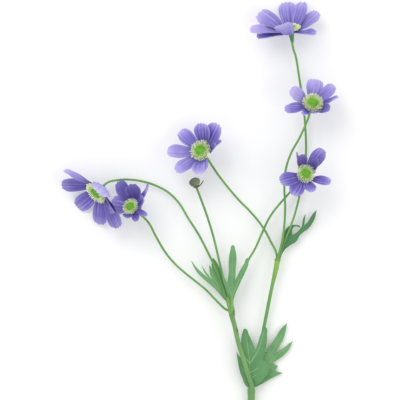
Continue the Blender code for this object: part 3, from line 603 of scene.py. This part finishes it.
def green_look(name, light, dark, roughness, stretch, scale, top=None):
    """Green tissue in two tones. top is a third colour and the stretch over which it comes in."""
    made, tree, shader = finish_look(name, roughness=roughness, specular=0.4)
    broad = ramp(tree, noise(tree, scale, 3, stretch), ((0.35, dark), (0.65, light)))
    if top:
        colour, start, end = top
        broad = blend(tree, up_spray(tree, start, end), broad, (*colour, 1))
    streaks = ramp(tree, noise(tree, scale * 9, 4, stretch), ((0.3, grey(0.72)), (0.7, grey(1.0))))
    colour = blend(tree, 0.5, broad, streaks, "MULTIPLY")
    tree.links.new(colour, shader.inputs["Base Color"])
    raise_surface(tree, shader, noise(tree, scale * 9, 4, stretch), 0.25, 0.15)
    return made


def leaf_look(name, light, dark):
    """A leaf's green: broad light and dark patches under a fine grain."""
    made, tree, shader = finish_look(name, roughness=0.5, specular=0.35)
    broad = ramp(tree, noise(tree, 60, 3), ((0.32, dark), (0.68, light)))
    cells = ramp(tree, noise(tree, 900, 3), ((0.3, grey(0.72)), (0.7, grey(1.0))))
    colour = blend(tree, 0.5, broad, cells, "MULTIPLY")
    tree.links.new(colour, shader.inputs["Base Color"])
    raise_surface(tree, shader, noise(tree, 700, 4), 0.3, 0.12)
    return made


def mixed(low, high, share):
    """A colour between two others."""
    return tuple(a + (b - a) * share for a, b in zip(low, high))


def leaf_looks(name, values):
    """One leaf's looks: its upper side, its underside and its veins."""
    # dark deepens the green: partly the leaf's own colour, partly painted shade where the leaf lies in
    # shadow
    light = mixed(LEAF_LIGHT, LEAF_DARK, values["dark"])
    shade = mixed(light, LEAF_DARK, 0.6)
    upper = leaf_look(name + "_upper", light, shade)
    under = leaf_look(name + "_under", mixed(light, PALE_VEIN, 0.2), light)
    vein = speckled_look(name + "_vein", mixed(light, PALE_VEIN, values["veins_pale"] * 0.75),
                         mixed(light, PALE_VEIN, values["veins_pale"]), 0.55, 300)
    return upper, under, vein


def speckled_look(name, low, high, roughness, scale):
    """Two tones in fine grains."""
    made, tree, shader = finish_look(name, roughness=roughness, specular=0.3)
    colour = ramp(tree, noise(tree, scale, 2.0), ((0.38, low), (0.62, high)))
    tree.links.new(colour, shader.inputs["Base Color"])
    raise_surface(tree, shader, noise(tree, scale * 2, 2.0), 0.2, 0.1)
    return made


LEAF_LIGHT = (0.215, 0.46, 0.185)
LEAF_DARK = (0.08, 0.24, 0.09)
PALE_VEIN = (0.36, 0.60, 0.34)
LOOKS = {
    "petal_inside": petal_look(
        "petal_inside",
        ((0.0, (0.07, 0.05, 0.27)), (0.3, (0.18, 0.145, 0.56)), (0.72, (0.27, 0.225, 0.72)),
         (1.0, (0.54, 0.47, 0.88))),
        (0.06, 0.04, 0.23), (0.62, 0.54, 0.88), (0.08, 0.055, 0.28), 0.9,
    ),
    "petal_outside": petal_look(
        "petal_outside",
        ((0.0, (0.11, 0.085, 0.38)), (0.3, (0.20, 0.165, 0.60)), (0.72, (0.31, 0.27, 0.76)),
         (1.0, (0.57, 0.51, 0.90))),
        (0.09, 0.065, 0.31), (0.66, 0.60, 0.92), (0.07, 0.05, 0.26), 0.65,
    ),
    "filament": speckled_look("filament", (0.60, 0.72, 0.28), (0.80, 0.86, 0.50), 0.55, 420),
    "anther": speckled_look("anther", (0.62, 0.75, 0.36), (0.91, 0.96, 0.76), 0.7, 420),
    "cushion": speckled_look("cushion", (0.50, 0.62, 0.20), (0.72, 0.80, 0.42), 0.65, 500),
    "button": speckled_look("button", (0.10, 0.36, 0.02), (0.22, 0.52, 0.04), 0.5, 500),
    "pip": speckled_look("pip", (0.14, 0.44, 0.02), (0.30, 0.60, 0.07), 0.45, 330),
    "stem": green_look("stem", (0.20, 0.40, 0.12), (0.14, 0.31, 0.10), 0.5, (1, 0.12, 1), 110),
    "right_stem": green_look("right_stem", (0.17, 0.40, 0.09), (0.12, 0.31, 0.08), 0.5, (1, 0.12, 1), 110,
                             top=((0.26, 0.50, 0.08), 165, 192)),
    "young_stem": green_look("young_stem", (0.23, 0.47, 0.13), (0.14, 0.35, 0.10), 0.5, (1, 0.15, 1), 130),
    "stalk": green_look("stalk", (0.18, 0.41, 0.09), (0.12, 0.31, 0.08), 0.5, (1, 0.12, 1), 90),
    "calyx": green_look("calyx", (0.12, 0.33, 0.10), (0.07, 0.22, 0.07), 0.55, (1, 1, 1), 260),
    "bud": green_look("bud", (0.20, 0.27, 0.15), (0.10, 0.11, 0.055), 0.6, (1, 1, 1), 130),
    "bud_foot": green_look("bud_foot", (0.22, 0.22, 0.12), (0.13, 0.10, 0.06), 0.6, (1, 1, 1), 240),
    "scar": speckled_look("scar", (0.14, 0.09, 0.06), (0.22, 0.34, 0.12), 0.8, 420),
}


# Stems and stalks


def profile(name, ribs, depth):
    """A round cross-section of radius 1 with shallow ribs, which stems are drawn with."""
    bpy.ops.curve.primitive_bezier_circle_add(radius=1)
    made = named(name)
    bpy.ops.object.mode_set(mode="EDIT")
    bpy.ops.curve.select_all(action="SELECT")
    bpy.ops.curve.subdivide(number_cuts=ribs // 2 - 1)
    bpy.ops.object.mode_set(mode="OBJECT")
    knots = made.data.splines[0].bezier_points
    for n, knot in enumerate(knots):
        share = 1 - depth * (n % 2)
        angle = 2 * math.pi * n / len(knots)
        knot.co = (share * math.cos(angle), share * math.sin(angle), 0)
        knot.handle_left_type = knot.handle_right_type = "AUTO"
    made.data.resolution_u = 2
    return made


def tube(name, route, radius, section, steps=10, straight=0):
    """A stem drawn through the route's points, each x, y, z and a share of the radius."""
    bpy.ops.curve.primitive_bezier_curve_add()
    line = named(name)
    spline = line.data.splines[0]
    spline.bezier_points.add(len(route) - 2)
    for n, (knot, (x, y, z, share)) in enumerate(zip(spline.bezier_points, route)):
        knot.co = Vector((x, y, z)) * MM
        knot.handle_left_type = knot.handle_right_type = "VECTOR" if n < straight else "AUTO"
        knot.radius = share * radius * MM
    line.data.resolution_u = steps
    line.data.bevel_mode = "OBJECT"
    line.data.bevel_object = section
    line.data.use_fill_caps = True
    pick(line)
    bpy.ops.object.convert(target="MESH")
    made = named(name)
    in_edit(made, merge, face_outwards)
    smooth_shade(made, 50)
    return made


def spur(name, foot, tip):
    """A dry, pointed bract tip."""
    foot, tip = Vector(foot), Vector(tip)
    middle = (foot + tip) / 2 + Vector((0.25, 0, 0.2))
    route = ((*foot, 1.0), (*middle, 0.8), (*tip, 0.25))
    return paint(tube(name, route, SPUR_RADIUS, ROUND, 5), LOOKS["scar"])


def joint_ring(name, route, radius, wide):
    """A low scar round the end of a branch."""
    end, before = Vector(route[-1][:3]), Vector(route[-2][:3])
    out = (end - before).normalized()
    share = route[-1][3]
    centre = end - out * SCAR_BACK
    way = [(*(centre + out * step), share * swell) for step, swell in (
        (-0.9, 0.93), (-0.45, wide), (0.0, wide + 0.03), (0.45, wide), (0.9, 0.96))]
    return paint(tube(name, way, radius, RIBBED, 3), LOOKS["scar"])


def stems():
    """The main stem and its two branches, ribbed, with the scars at their joints."""
    main = paint(tube("fine_main_stem", STEM_ROUTE, STEM_RADIUS, RIBBED, 14, straight=2), LOOKS["stem"])
    hand_over(main, "main_stem")
    route = (BRANCH_LEFT_ROOT, *BRANCH_LEFT_ROUTE)
    left = paint(tube("left", route, BRANCH_LEFT_RADIUS, RIBBED), LOOKS["stem"])
    dry = [spur(f"spur_{n}", foot, tip) for n, (foot, tip) in enumerate(SPURS)]
    scar = joint_ring("left_scar", BRANCH_LEFT_ROUTE, BRANCH_LEFT_RADIUS, 1.02)
    sleeve = paint(tube("sleeve", LEFT_SLEEVE, 1.0, RIBBED, 5), LOOKS["young_stem"])
    hand_over(joined("fine_branch_left", [left, *dry, scar, sleeve]), "branch_left")
    route = (BRANCH_RIGHT_ROOT, *BRANCH_RIGHT_ROUTE)
    right = paint(tube("right", route, BRANCH_RIGHT_RADIUS, RIBBED), LOOKS["right_stem"])
    scar = joint_ring("right_scar", BRANCH_RIGHT_ROUTE, BRANCH_RIGHT_RADIUS, 1.08)
    hand_over(joined("fine_branch_right", [right, scar]), "branch_right")


def branch_end(route):
    """The end of a branch: its centre, and its right, up and outward directions."""
    end, before = Vector(route[-1][:3]), Vector(route[-2][:3])
    out = (end - before).normalized()
    up = (Vector((0, 0, 1)) - out * out.z).normalized()
    return end, out.cross(up), up, out


def stalk(node, joint, seat, route, end, axis):
    """A flower's stalk from its seat on a branch to the end behind the flower."""
    centre, right, up, out = joint
    seated = centre + right * seat[0] + up * seat[1] + out * GAP
    root = seated - out * STALK_INSIDE
    start = seated + out * STALK_LEAVE
    last = end - axis * STALK_APPROACH
    way = [(*root, STALK_ROOT), (*start, STALK_ROOT)]
    way += [(*point, 1.0) for point in route]
    way += [(*last, 1.0), (*end, STALK_TOP)]
    made = paint(tube("fine_" + node, way, STALK_RADIUS, THIN_RIBBED, 9), LOOKS["stalk"])
    hand_over(made, node)


# Petals


def smooth(value):
    value = min(1.0, max(0.0, value))
    return value * value * (3 - 2 * value)


def petal_rise(along, length, shape):
    """How steeply the petal climbs, in radians: flat under the stamens, then lifted, then curled."""
    lifted = smooth((along * length - PETAL_FLAT) / PETAL_LIFT_OVER)
    return math.radians(shape["lift"] * lifted + shape["curl"] * along**2)


def petal_middle(along, length, shape):
    """A point of the petal's midline: out from the flower's axis, and up along it."""
    out, up, step = PETAL_ROOT, 0.0, along / PETAL_STEPS
    for k in range(PETAL_STEPS):
        rise = petal_rise((k + 0.5) * step, length, shape)
        out += math.cos(rise) * step * length
        up += math.sin(rise) * step * length
    return out, up


def petal_half_width(along, width):
    if along < PETAL_WIDEST:
        rest = math.sin(math.pi / 2 * along / PETAL_WIDEST) ** 1.2
        share = PETAL_ROOT_WIDTH + (1 - PETAL_ROOT_WIDTH) * rest
    else:
        share = 1 - PETAL_TIP_LOSS * ((along - PETAL_WIDEST) / (1 - PETAL_WIDEST)) ** 2
    return width / 2 * share


def petal_character(name, number):
    """What makes each petal its own: its teeth, its pleats and the waves of its edges."""
    draw = random.Random(f"{name} {number}")
    return {
        "teeth": draw.choice((1.5, 2.0, 2.5)),
        "shift": draw.uniform(-0.25, 0.25),
        "tooth": draw.uniform(0.02, 0.04),
        "pleat": PLEAT_DEPTH * draw.uniform(0.7, 1.4),
        "wave": draw.uniform(0.25, 0.7),
        "waves": draw.uniform(1.1, 1.8),
        "phase": draw.uniform(0, 2 * math.pi),
    }


def petal_point(across, along, shape, own):
    """A point of the petal in millimetres at azimuth 0, with its pleats, waves and teeth."""
    length = shape["reach"] - PETAL_ROOT
    square, fourth = PETAL_TIP_ROUNDING
    rounding = (square * across**2 + fourth * across**4) * along**3
    teeth = own["tooth"] * math.sin(own["teeth"] * math.pi * (across + own["shift"])) ** 2 * along**10
    share = along * (1 - rounding - teeth)
    out, up = petal_middle(share, length, shape)
    rise = petal_rise(share, length, shape)
    cupped = smooth((share * length - PETAL_FLAT / 2) / PETAL_CUP_OVER)
    bend = LEAST_BEND + math.radians(shape["cup"]) * cupped
    half = petal_half_width(along, shape["width"])
    side = half * math.sin(bend * across) / bend
    depth = half * (1 - math.cos(bend * across)) / bend
    grown = smooth((along - 0.15) / 0.25)
    depth -= own["pleat"] * math.cos(math.pi * PLEATS * (across + 1)) * grown * (1 - 0.5 * along**4)
    wave = math.sin(2 * math.pi * own["waves"] * along + own["phase"])
    depth += own["wave"] * abs(across) ** 3 * wave * grown
    turn = Matrix.Rotation(math.radians(shape["twist"]) * smooth(along), 2)
    side, depth = turn @ Vector((side, depth))
    return Vector((out - math.sin(rise) * depth, side, up + math.cos(rise) * depth))


def flower_frame(values):
    """The flower's own frame: Z along its axis, X the way it leans, origin at its hub."""
    lean, tilt = math.radians(values["lean"]), math.radians(values["tilt"])
    towards = Vector((math.cos(lean), math.sin(lean), 0))
    up = Vector((0, 0, 1))
    axis = towards * math.sin(tilt) + up * math.cos(tilt)
    x = towards * math.cos(tilt) - up * math.sin(tilt)
    turn = Matrix((x, axis.cross(x), axis)).transposed()
    return Matrix.Translation(Vector(values["hub"]) * MM) @ turn.to_4x4()


def above_surface(world):
    """Bends what would dip under the surface along it, as a petal that touches the table lies."""
    lowest, start = SURFACE_CLEAR * MM, SURFACE_BEND * MM
    if world.z < start:
        world.z = lowest + (start - lowest) * math.exp((world.z - start) / (start - lowest))
    return world


def mark(obj, name, value):
    """Gives every point of a piece the same value, which stays with it when pieces are joined."""
    for entry in obj.data.attributes.new(name, "FLOAT", "POINT").data:
        entry.value = value


def petal_blank():
    """A flat petal pattern, -1 to 1 both ways, with its own UV map."""
    strips, rings = PETAL_GRID
    bpy.ops.mesh.primitive_grid_add(x_subdivisions=strips, y_subdivisions=rings, size=2, calc_uvs=True)
    return named("petal_blank")


def petal(blank, name, number, values, tone_and_shade, matrix):
    """One petal, bent from the flat pattern, with an inside and an outside."""
    shape = dict(zip(PETAL_VALUES, values))
    own = petal_character(name, number)
    turn = Matrix.Rotation(math.radians(shape["azimuth"]), 4, "Z")
    level = Vector((0, 0, PETAL_STAGGER if number % 2 else -PETAL_STAGGER))
    made = copy_of(blank, f"{name}_petal_{number}")
    for vertex in made.data.vertices:
        point = petal_point(-vertex.co.x, (vertex.co.y + 1) / 2, shape, own) + level
        vertex.co = above_surface(matrix @ turn @ (point * MM))
    # the tone holds painted shade as well as the petal's own tone
    mark(made, "tone_and_shade", tone_and_shade)
    mark(made, "own", own["phase"])
    paint(made, LOOKS["petal_inside"], LOOKS["petal_outside"])
    shell = made.modifiers.new("Thickness", "SOLIDIFY")
    shell.thickness = PETAL_THICKNESS * MM
    shell.offset = 0
    shell.material_offset = 1
    apply_modifiers(made)
    return made


def petals(blank, name, values, matrix):
    """The flower's petals round their green base."""
    pieces = [
        petal(blank, name, n, one, tone_and_shade, matrix)
        for n, (one, tone_and_shade) in enumerate(zip(values["petals"], values["tones_and_shade"]))
    ]
    bpy.ops.mesh.primitive_cylinder_add(vertices=32, radius=HUB_RADIUS * MM, depth=1.7 * HUB_HALF * MM)
    base = named("petal_base")
    soften = base.modifiers.new("Soften", "BEVEL")
    soften.width = 0.4 * MM
    soften.segments = 3
    apply_modifiers(base)
    paint(place(base, matrix), LOOKS["calyx"])
    made = joined(f"fine_{name}_petals", [*pieces, base])
    smooth_shade(made, 60)
    hand_over(made, f"{name}_petals")


# Flower centres


def stamen_pattern(length):
    """A stamen that stands on the origin: a filament with a plump anther on its tip."""
    low, high = FILAMENT_RADII
    bpy.ops.mesh.primitive_cone_add(vertices=6, radius1=low * MM, radius2=high * MM, depth=length * MM,
                                    location=(0, 0, length / 2 * MM))
    filament = named("filament")
    bpy.ops.object.transform_apply(location=True, rotation=False, scale=False)
    bpy.ops.mesh.primitive_uv_sphere_add(segments=8, ring_count=5, radius=1)
    anther = named("anther")
    wide, deep, tall = ANTHER
    for vertex in anther.data.vertices:
        x, y, z = vertex.co
        vertex.co = Vector((x * wide + ANTHER_ASIDE, y * deep, z * tall + length)) * MM
    smooth_shade(anther, 80)
    return joined("stamen", [paint(anther, LOOKS["anther"]), paint(filament, LOOKS["filament"])])


def stamens(patterns, name, scale, matrix):
    """A cushion ringed with stamens that lean outwards, the outer ones furthest."""
    draw = random.Random(name)
    low = HUB_HALF + GAP
    radius = CUSHION_RADIUS * scale
    bpy.ops.mesh.primitive_cone_add(
        vertices=40, radius1=radius * CUSHION_FOOT * MM, radius2=radius * 0.95 * MM,
        depth=CUSHION_HEIGHT * MM, location=(0, 0, (low + CUSHION_HEIGHT / 2) * MM))
    cushion = named("cushion")
    soften = cushion.modifiers.new("Soften", "BEVEL")
    soften.width = 0.35 * MM
    soften.segments = 2
    apply_modifiers(cushion)
    pick(cushion)
    bpy.ops.object.transform_apply(location=True, rotation=True, scale=True)
    paint(place(cushion, matrix), LOOKS["cushion"])
    pieces = [cushion]
    for (share, lean, _, count), pattern in zip(STAMEN_RINGS, patterns):
        for n in range(count):
            angle = 2 * math.pi * (n + draw.uniform(-0.3, 0.3)) / count
            out = radius * share * draw.uniform(0.95, 1.02)
            foot = Vector((out, 0, low + CUSHION_HEIGHT * 0.7)) * MM
            tilt = math.radians(lean + draw.uniform(-9, 9))
            size = draw.uniform(0.8, 1.15)
            way = Matrix.Rotation(angle, 4, "Z") @ Matrix.Translation(foot)
            way = way @ Matrix.Rotation(tilt, 4, "Y") @ Matrix.Rotation(draw.uniform(-0.5, 0.5), 4, "Z")
            pieces.append(copy_of(pattern, "one", matrix @ way @ Matrix.Scale(size * scale, 4)))
    made = joined(f"fine_{name}_stamens", pieces)
    hand_over(made, f"{name}_stamens")


def pip_pattern():
    """One rounded pip that stands on the origin."""
    bpy.ops.mesh.primitive_uv_sphere_add(segments=8, ring_count=5, radius=1)
    made = named("pip")
    wide, deep, tall = PIP
    for vertex in made.data.vertices:
        x, y, z = vertex.co
        vertex.co = Vector((x * wide, y * deep, z * tall + PIP_RAISED)) * MM
    smooth_shade(made, 80)
    return paint(made, LOOKS["pip"])


def button(pattern, name, scale, matrix):
    """The green dome in the middle, covered in pips that spiral out from its top."""
    low = HUB_HALF + GAP + CUSHION_HEIGHT + GAP
    wide, high = BUTTON_RADIUS * scale * DOME_WIDE, BUTTON_HEIGHT * DOME_HIGH
    bpy.ops.mesh.primitive_uv_sphere_add(segments=40, ring_count=20, radius=1)
    dome = named("dome")
    in_edit(dome, lambda: bpy.ops.mesh.bisect(
        plane_co=(0, 0, 0.001), plane_no=(0, 0, 1), use_fill=True, clear_inner=True))
    size = Matrix.Diagonal((wide * MM, wide * MM, high * MM, 1))
    place(dome, matrix @ Matrix.Translation((0, 0, low * MM)) @ size)
    smooth_shade(dome, 50)
    pieces = [paint(dome, LOOKS["button"])]
    golden = math.pi * (3 - math.sqrt(5))
    for n in range(PIP_COUNT):
        polar = math.acos(1 - PIP_SPREAD * (n + 0.5) / PIP_COUNT)
        angle = n * golden
        foot = Vector((
            wide * math.sin(polar) * math.cos(angle),
            wide * math.sin(polar) * math.sin(angle),
            low + high * math.cos(polar),
        ))
        normal = Vector((foot.x / wide**2, foot.y / wide**2, (foot.z - low) / high**2))
        stand = normal.to_track_quat("Z", "Y").to_matrix().to_4x4()
        size = 0.8 + 0.35 * n / PIP_COUNT
        way = Matrix.Translation(foot * MM) @ stand @ Matrix.Scale(size * scale, 4)
        pieces.append(copy_of(pattern, "one", matrix @ way))
    made = joined(f"fine_{name}_button", pieces)
    hand_over(made, f"{name}_button")


def calyx(name, length, matrix):
    """The lobed green cup behind the petals."""
    top = -(HUB_HALF + GAP)
    route = [(0, 0, top - share * length, radius) for radius, share in CALYX_PROFILE]
    made = paint(tube(f"fine_{name}_calyx", route, 1.0, LOBED, 5), LOOKS["calyx"])
    place(made, matrix)
    hand_over(made, f"{name}_calyx")


def flower(tools, name, values, joints):
    matrix = flower_frame(values)
    petals(tools["blank"], name, values, matrix)
    stamens(tools["stamens"], name, values["centre"], matrix)
    button(tools["pip"], name, values["button"], matrix)
    calyx(name, values["calyx"], matrix)
    axis = matrix.to_3x3() @ Vector((0, 0, 1))
    end = Vector(values["hub"]) - axis * (HUB_HALF + GAP + values["calyx"] + GAP)
    stalk(f"{name}_stalk", joints[values["joint"]], values["seat"], values["route"], end, axis)


# Bud


def bud(joint):
    """The closed bud of folded sepals in its small cup, with one loose sepal."""
    axis = Vector(BUD_AXIS).normalized()
    end = Vector(BUD_STEM_END)
    matrix = Matrix.Translation(end * MM) @ axis.to_track_quat("Z", "X").to_matrix().to_4x4()

    bpy.ops.mesh.primitive_uv_sphere_add(segments=60, ring_count=36, radius=1)
    ball = named("fine_bud_body")
    for vertex in ball.data.vertices:
        x, y, z = vertex.co
        wave = abs(math.sin(2.5 * math.atan2(y, x) + 1.2 * z))
        folded = 1 - 0.075 * (1 - wave) ** 3 * (1 - z * z)
        creased = 1 - 0.012 * math.cos(25 * math.atan2(y, x)) * (1 - z * z)
        narrowed = 1 - 0.16 * smooth(-z) * (1 + z)
        across = folded * creased * narrowed
        height = z * BUD_TALL * (1 - 0.06 * (z > 0) * z)
        vertex.co = Vector((x * across, y * across, height)) * BUD_RADIUS * 0.98
        vertex.co.z += BUD_CUP_HEIGHT + GAP + BUD_TALL * BUD_RADIUS
    place(ball, matrix @ Matrix.Scale(MM, 4))
    smooth_shade(ball, 80)
    hand_over(paint(ball, LOOKS["bud"]), "bud_body")

    cup = tube("cup", BUD_CUP, 1.0, LOBED, 4)
    sepal = tube("sepal", LOOSE_SEPAL_ROUTE, LOOSE_SEPAL_RADIUS, ROUND, 6)
    place(sepal, Matrix.Rotation(math.radians(LOOSE_SEPAL_AZIMUTH), 4, "Z"))
    made = joined("fine_bud_calyx", [paint(cup, LOOKS["bud_foot"]), paint(sepal, LOOKS["bud_foot"])])
    hand_over(place(made, matrix), "bud_calyx")
    stalk("bud_stalk", joint, BUD_JOINT_SEAT, BUD_ROUTE, end - axis * GAP, axis)


# Leaves


def leaf_height(x, y, values):
    """How high the blade lies: at its level by the foot, then sloping, and arched along its length."""
    foot = Vector(values["foot"])
    reach = max((Vector(point[:2]) - foot.xy).length for point in values["outline"])
    share = (Vector((x, y)) - foot.xy).length / reach
    tilt_x, tilt_y = values["tilt"]
    slope = (tilt_x * (x - foot.x) + tilt_y * (y - foot.y)) / 10
    return values["level"] + slope + values["arch"] * math.sin(math.pi * share)


def leaf_sheet(name, outline):
    """The flat blade inside its outline."""
    bpy.ops.curve.primitive_bezier_circle_add()
    line = named(name)
    spline = line.data.splines[0]
    spline.bezier_points.add(len(outline) - 4)
    for knot, (x, y, corner) in zip(spline.bezier_points, outline):
        knot.co = Vector((x, y, 0)) * MM
        knot.handle_left_type = knot.handle_right_type = "VECTOR" if corner else "AUTO"
    line.data.dimensions = "2D"
    line.data.fill_mode = "BOTH"
    line.data.resolution_u = LEAF_STEPS
    pick(line)
    bpy.ops.object.convert(target="MESH")
    sheet = named(name)
    in_edit(sheet, merge)
    return sheet


def cut_fine(sheet):
    """Cuts a flat sheet into small squares both ways, then into triangles."""
    pick(sheet)
    for axis in (0, 1):
        bpy.ops.object.mode_set(mode="OBJECT")
        places = [vertex.co[axis] for vertex in sheet.data.vertices]
        bpy.ops.object.mode_set(mode="EDIT")
        normal = [0, 0, 0]
        normal[axis] = 1
        at = min(places) + LEAF_CELL * MM
        while at < max(places):
            point = [0, 0, 0]
            point[axis] = at
            bpy.ops.mesh.select_all(action="SELECT")
            bpy.ops.mesh.bisect(plane_co=point, plane_no=normal, threshold=0.00001)
            at += LEAF_CELL * MM
    bpy.ops.mesh.select_all(action="SELECT")
    triangulate()
    bpy.ops.object.mode_set(mode="OBJECT")


def distance_to(point, line):
    """From a point to the nearest stretch of a line of points."""
    best = 1e9
    for start, end in zip(line, line[1:]):
        start, way = Vector(start), Vector(end) - Vector(start)
        share = min(1, max(0, (point - start).dot(way) / way.length_squared))
        best = min(best, (point - start - way * share).length)
    return best


def vein(line, values, look):
    """A raised vein, half sunk in the blade, that thins towards its end."""
    last = len(line) - 1
    route = [
        (x, y, leaf_height(x, y, values), 1 + (VEIN_TIP - 1) * n / last) for n, (x, y) in enumerate(line)
    ]
    return paint(tube("vein", route, VEIN_RADIUS, ROUND, 6), look)


def leaf(name, values):
    """A cut leaf with raised veins, lobes that fold along them, and a petiole."""
    upper, under, vein_look = leaf_looks(name, values)
    sheet = leaf_sheet("blade", values["outline"])
    cut_fine(sheet)
    if sum(face.normal.z * face.area for face in sheet.data.polygons) < 0:
        in_edit(sheet, lambda: bpy.ops.mesh.flip_normals())
    steepness, reach = LEAF_FOLD
    for vertex in sheet.data.vertices:
        point = Vector(vertex.co.xy) / MM
        away = min(distance_to(point, line) for line in values["veins"])
        vertex.co.z = (leaf_height(*point, values) + steepness * min(away, reach) - LEAF_THICKNESS / 2) * MM
    paint(sheet, upper, under)
    shell = sheet.modifiers.new("Thickness", "SOLIDIFY")
    shell.thickness = LEAF_THICKNESS * MM
    shell.offset = 0
    shell.material_offset = 1
    apply_modifiers(sheet)
    foot = Vector(values["foot"])
    into = (Vector(values["outline"][0][:2]) + Vector(values["outline"][-1][:2])) / 2
    far = into + (into - foot.xy).normalized() * PETIOLE_INTO
    way = (
        (*foot, 0.4),
        (*foot.lerp((*into, leaf_height(*into, values)), 0.2), 0.95),
        (*into, leaf_height(*into, values), 1.0),
        (*far, leaf_height(*far, values), 0.3),
    )
    petiole = tube("petiole", way, PETIOLE_RADIUS * values["petiole"], THIN_RIBBED, 8)
    veins = [vein(line, values, vein_look) for line in values["veins"]]
    made = joined("fine_" + name, [sheet, paint(petiole, LOOKS["young_stem"]), *veins])
    smooth_shade(made, 60)
    hand_over(made, name)


# Table, lights and camera


def table():
    """A plain pale table under the spray."""
    bpy.ops.mesh.primitive_plane_add(size=TABLE_SIZE, location=(*VIEW_CENTRE, -TABLE_DROP))
    made = named("table")
    look, tree, shader = finish_look("table", roughness=0.9, specular=0.1)
    grain = ramp(tree, noise(tree, 30, 2), ((0.3, grey(0.93)), (0.7, grey(0.95))))
    tree.links.new(grain, shader.inputs["Base Color"])
    paint(made, look)


def lamp(name, place_at, size, energy):
    """A large soft lamp that faces the spray."""
    bpy.ops.object.light_add(type="AREA", location=place_at)
    made = named(name)
    made.data.shape = "DISK"
    made.data.size = size
    made.data.energy = energy
    towards = Vector((*VIEW_CENTRE, 0)) - Vector(place_at)
    made.rotation_euler = towards.to_track_quat("-Z", "Y").to_euler()


def studio():
    """Soft light from all round, stronger from the far left, and a camera straight above."""
    world = bpy.data.worlds.new("studio")
    bpy.context.scene.world = world
    world.use_nodes = True
    background = world.node_tree.nodes["Background"]
    background.inputs["Color"].default_value = (1, 1, 1, 1)
    background.inputs["Strength"].default_value = DAYLIGHT
    for name, values in LAMPS.items():
        lamp(name, *values)
    reach = VIEW_HEIGHT + FLOWER_LEVEL
    bpy.ops.object.camera_add(location=(*VIEW_CENTRE, reach), rotation=(0, 0, 0))
    camera = named("camera")
    camera.data.sensor_width = SENSOR
    camera.data.lens = SENSOR * VIEW_HEIGHT / VIEW_WIDTH
    camera.data.clip_end = 50
    bpy.context.scene.camera = camera
    bpy.context.scene.view_settings.view_transform = "Standard"


ROUND = profile("round", 4, 0.0)
RIBBED = profile("ribbed", 16, 0.05)
THIN_RIBBED = profile("thin_ribbed", 8, 0.05)
LOBED = profile("lobed", 16, 0.09)
JOINTS = {"left": branch_end(BRANCH_LEFT_ROUTE), "right": branch_end(BRANCH_RIGHT_ROUTE)}
TOOLS = {
    "blank": petal_blank(),
    "stamens": [stamen_pattern(length) for _, _, length, _ in STAMEN_RINGS],
    "pip": pip_pattern(),
}
stems()
for flower_name, flower_values in FLOWERS.items():
    flower(TOOLS, flower_name, flower_values, JOINTS)
bud(JOINTS["left"])
for leaf_name, leaf_values in LEAVES.items():
    leaf(leaf_name, leaf_values)
drop(ROUND, RIBBED, THIN_RIBBED, LOBED, TOOLS["blank"], TOOLS["pip"], *TOOLS["stamens"])
table()
studio()
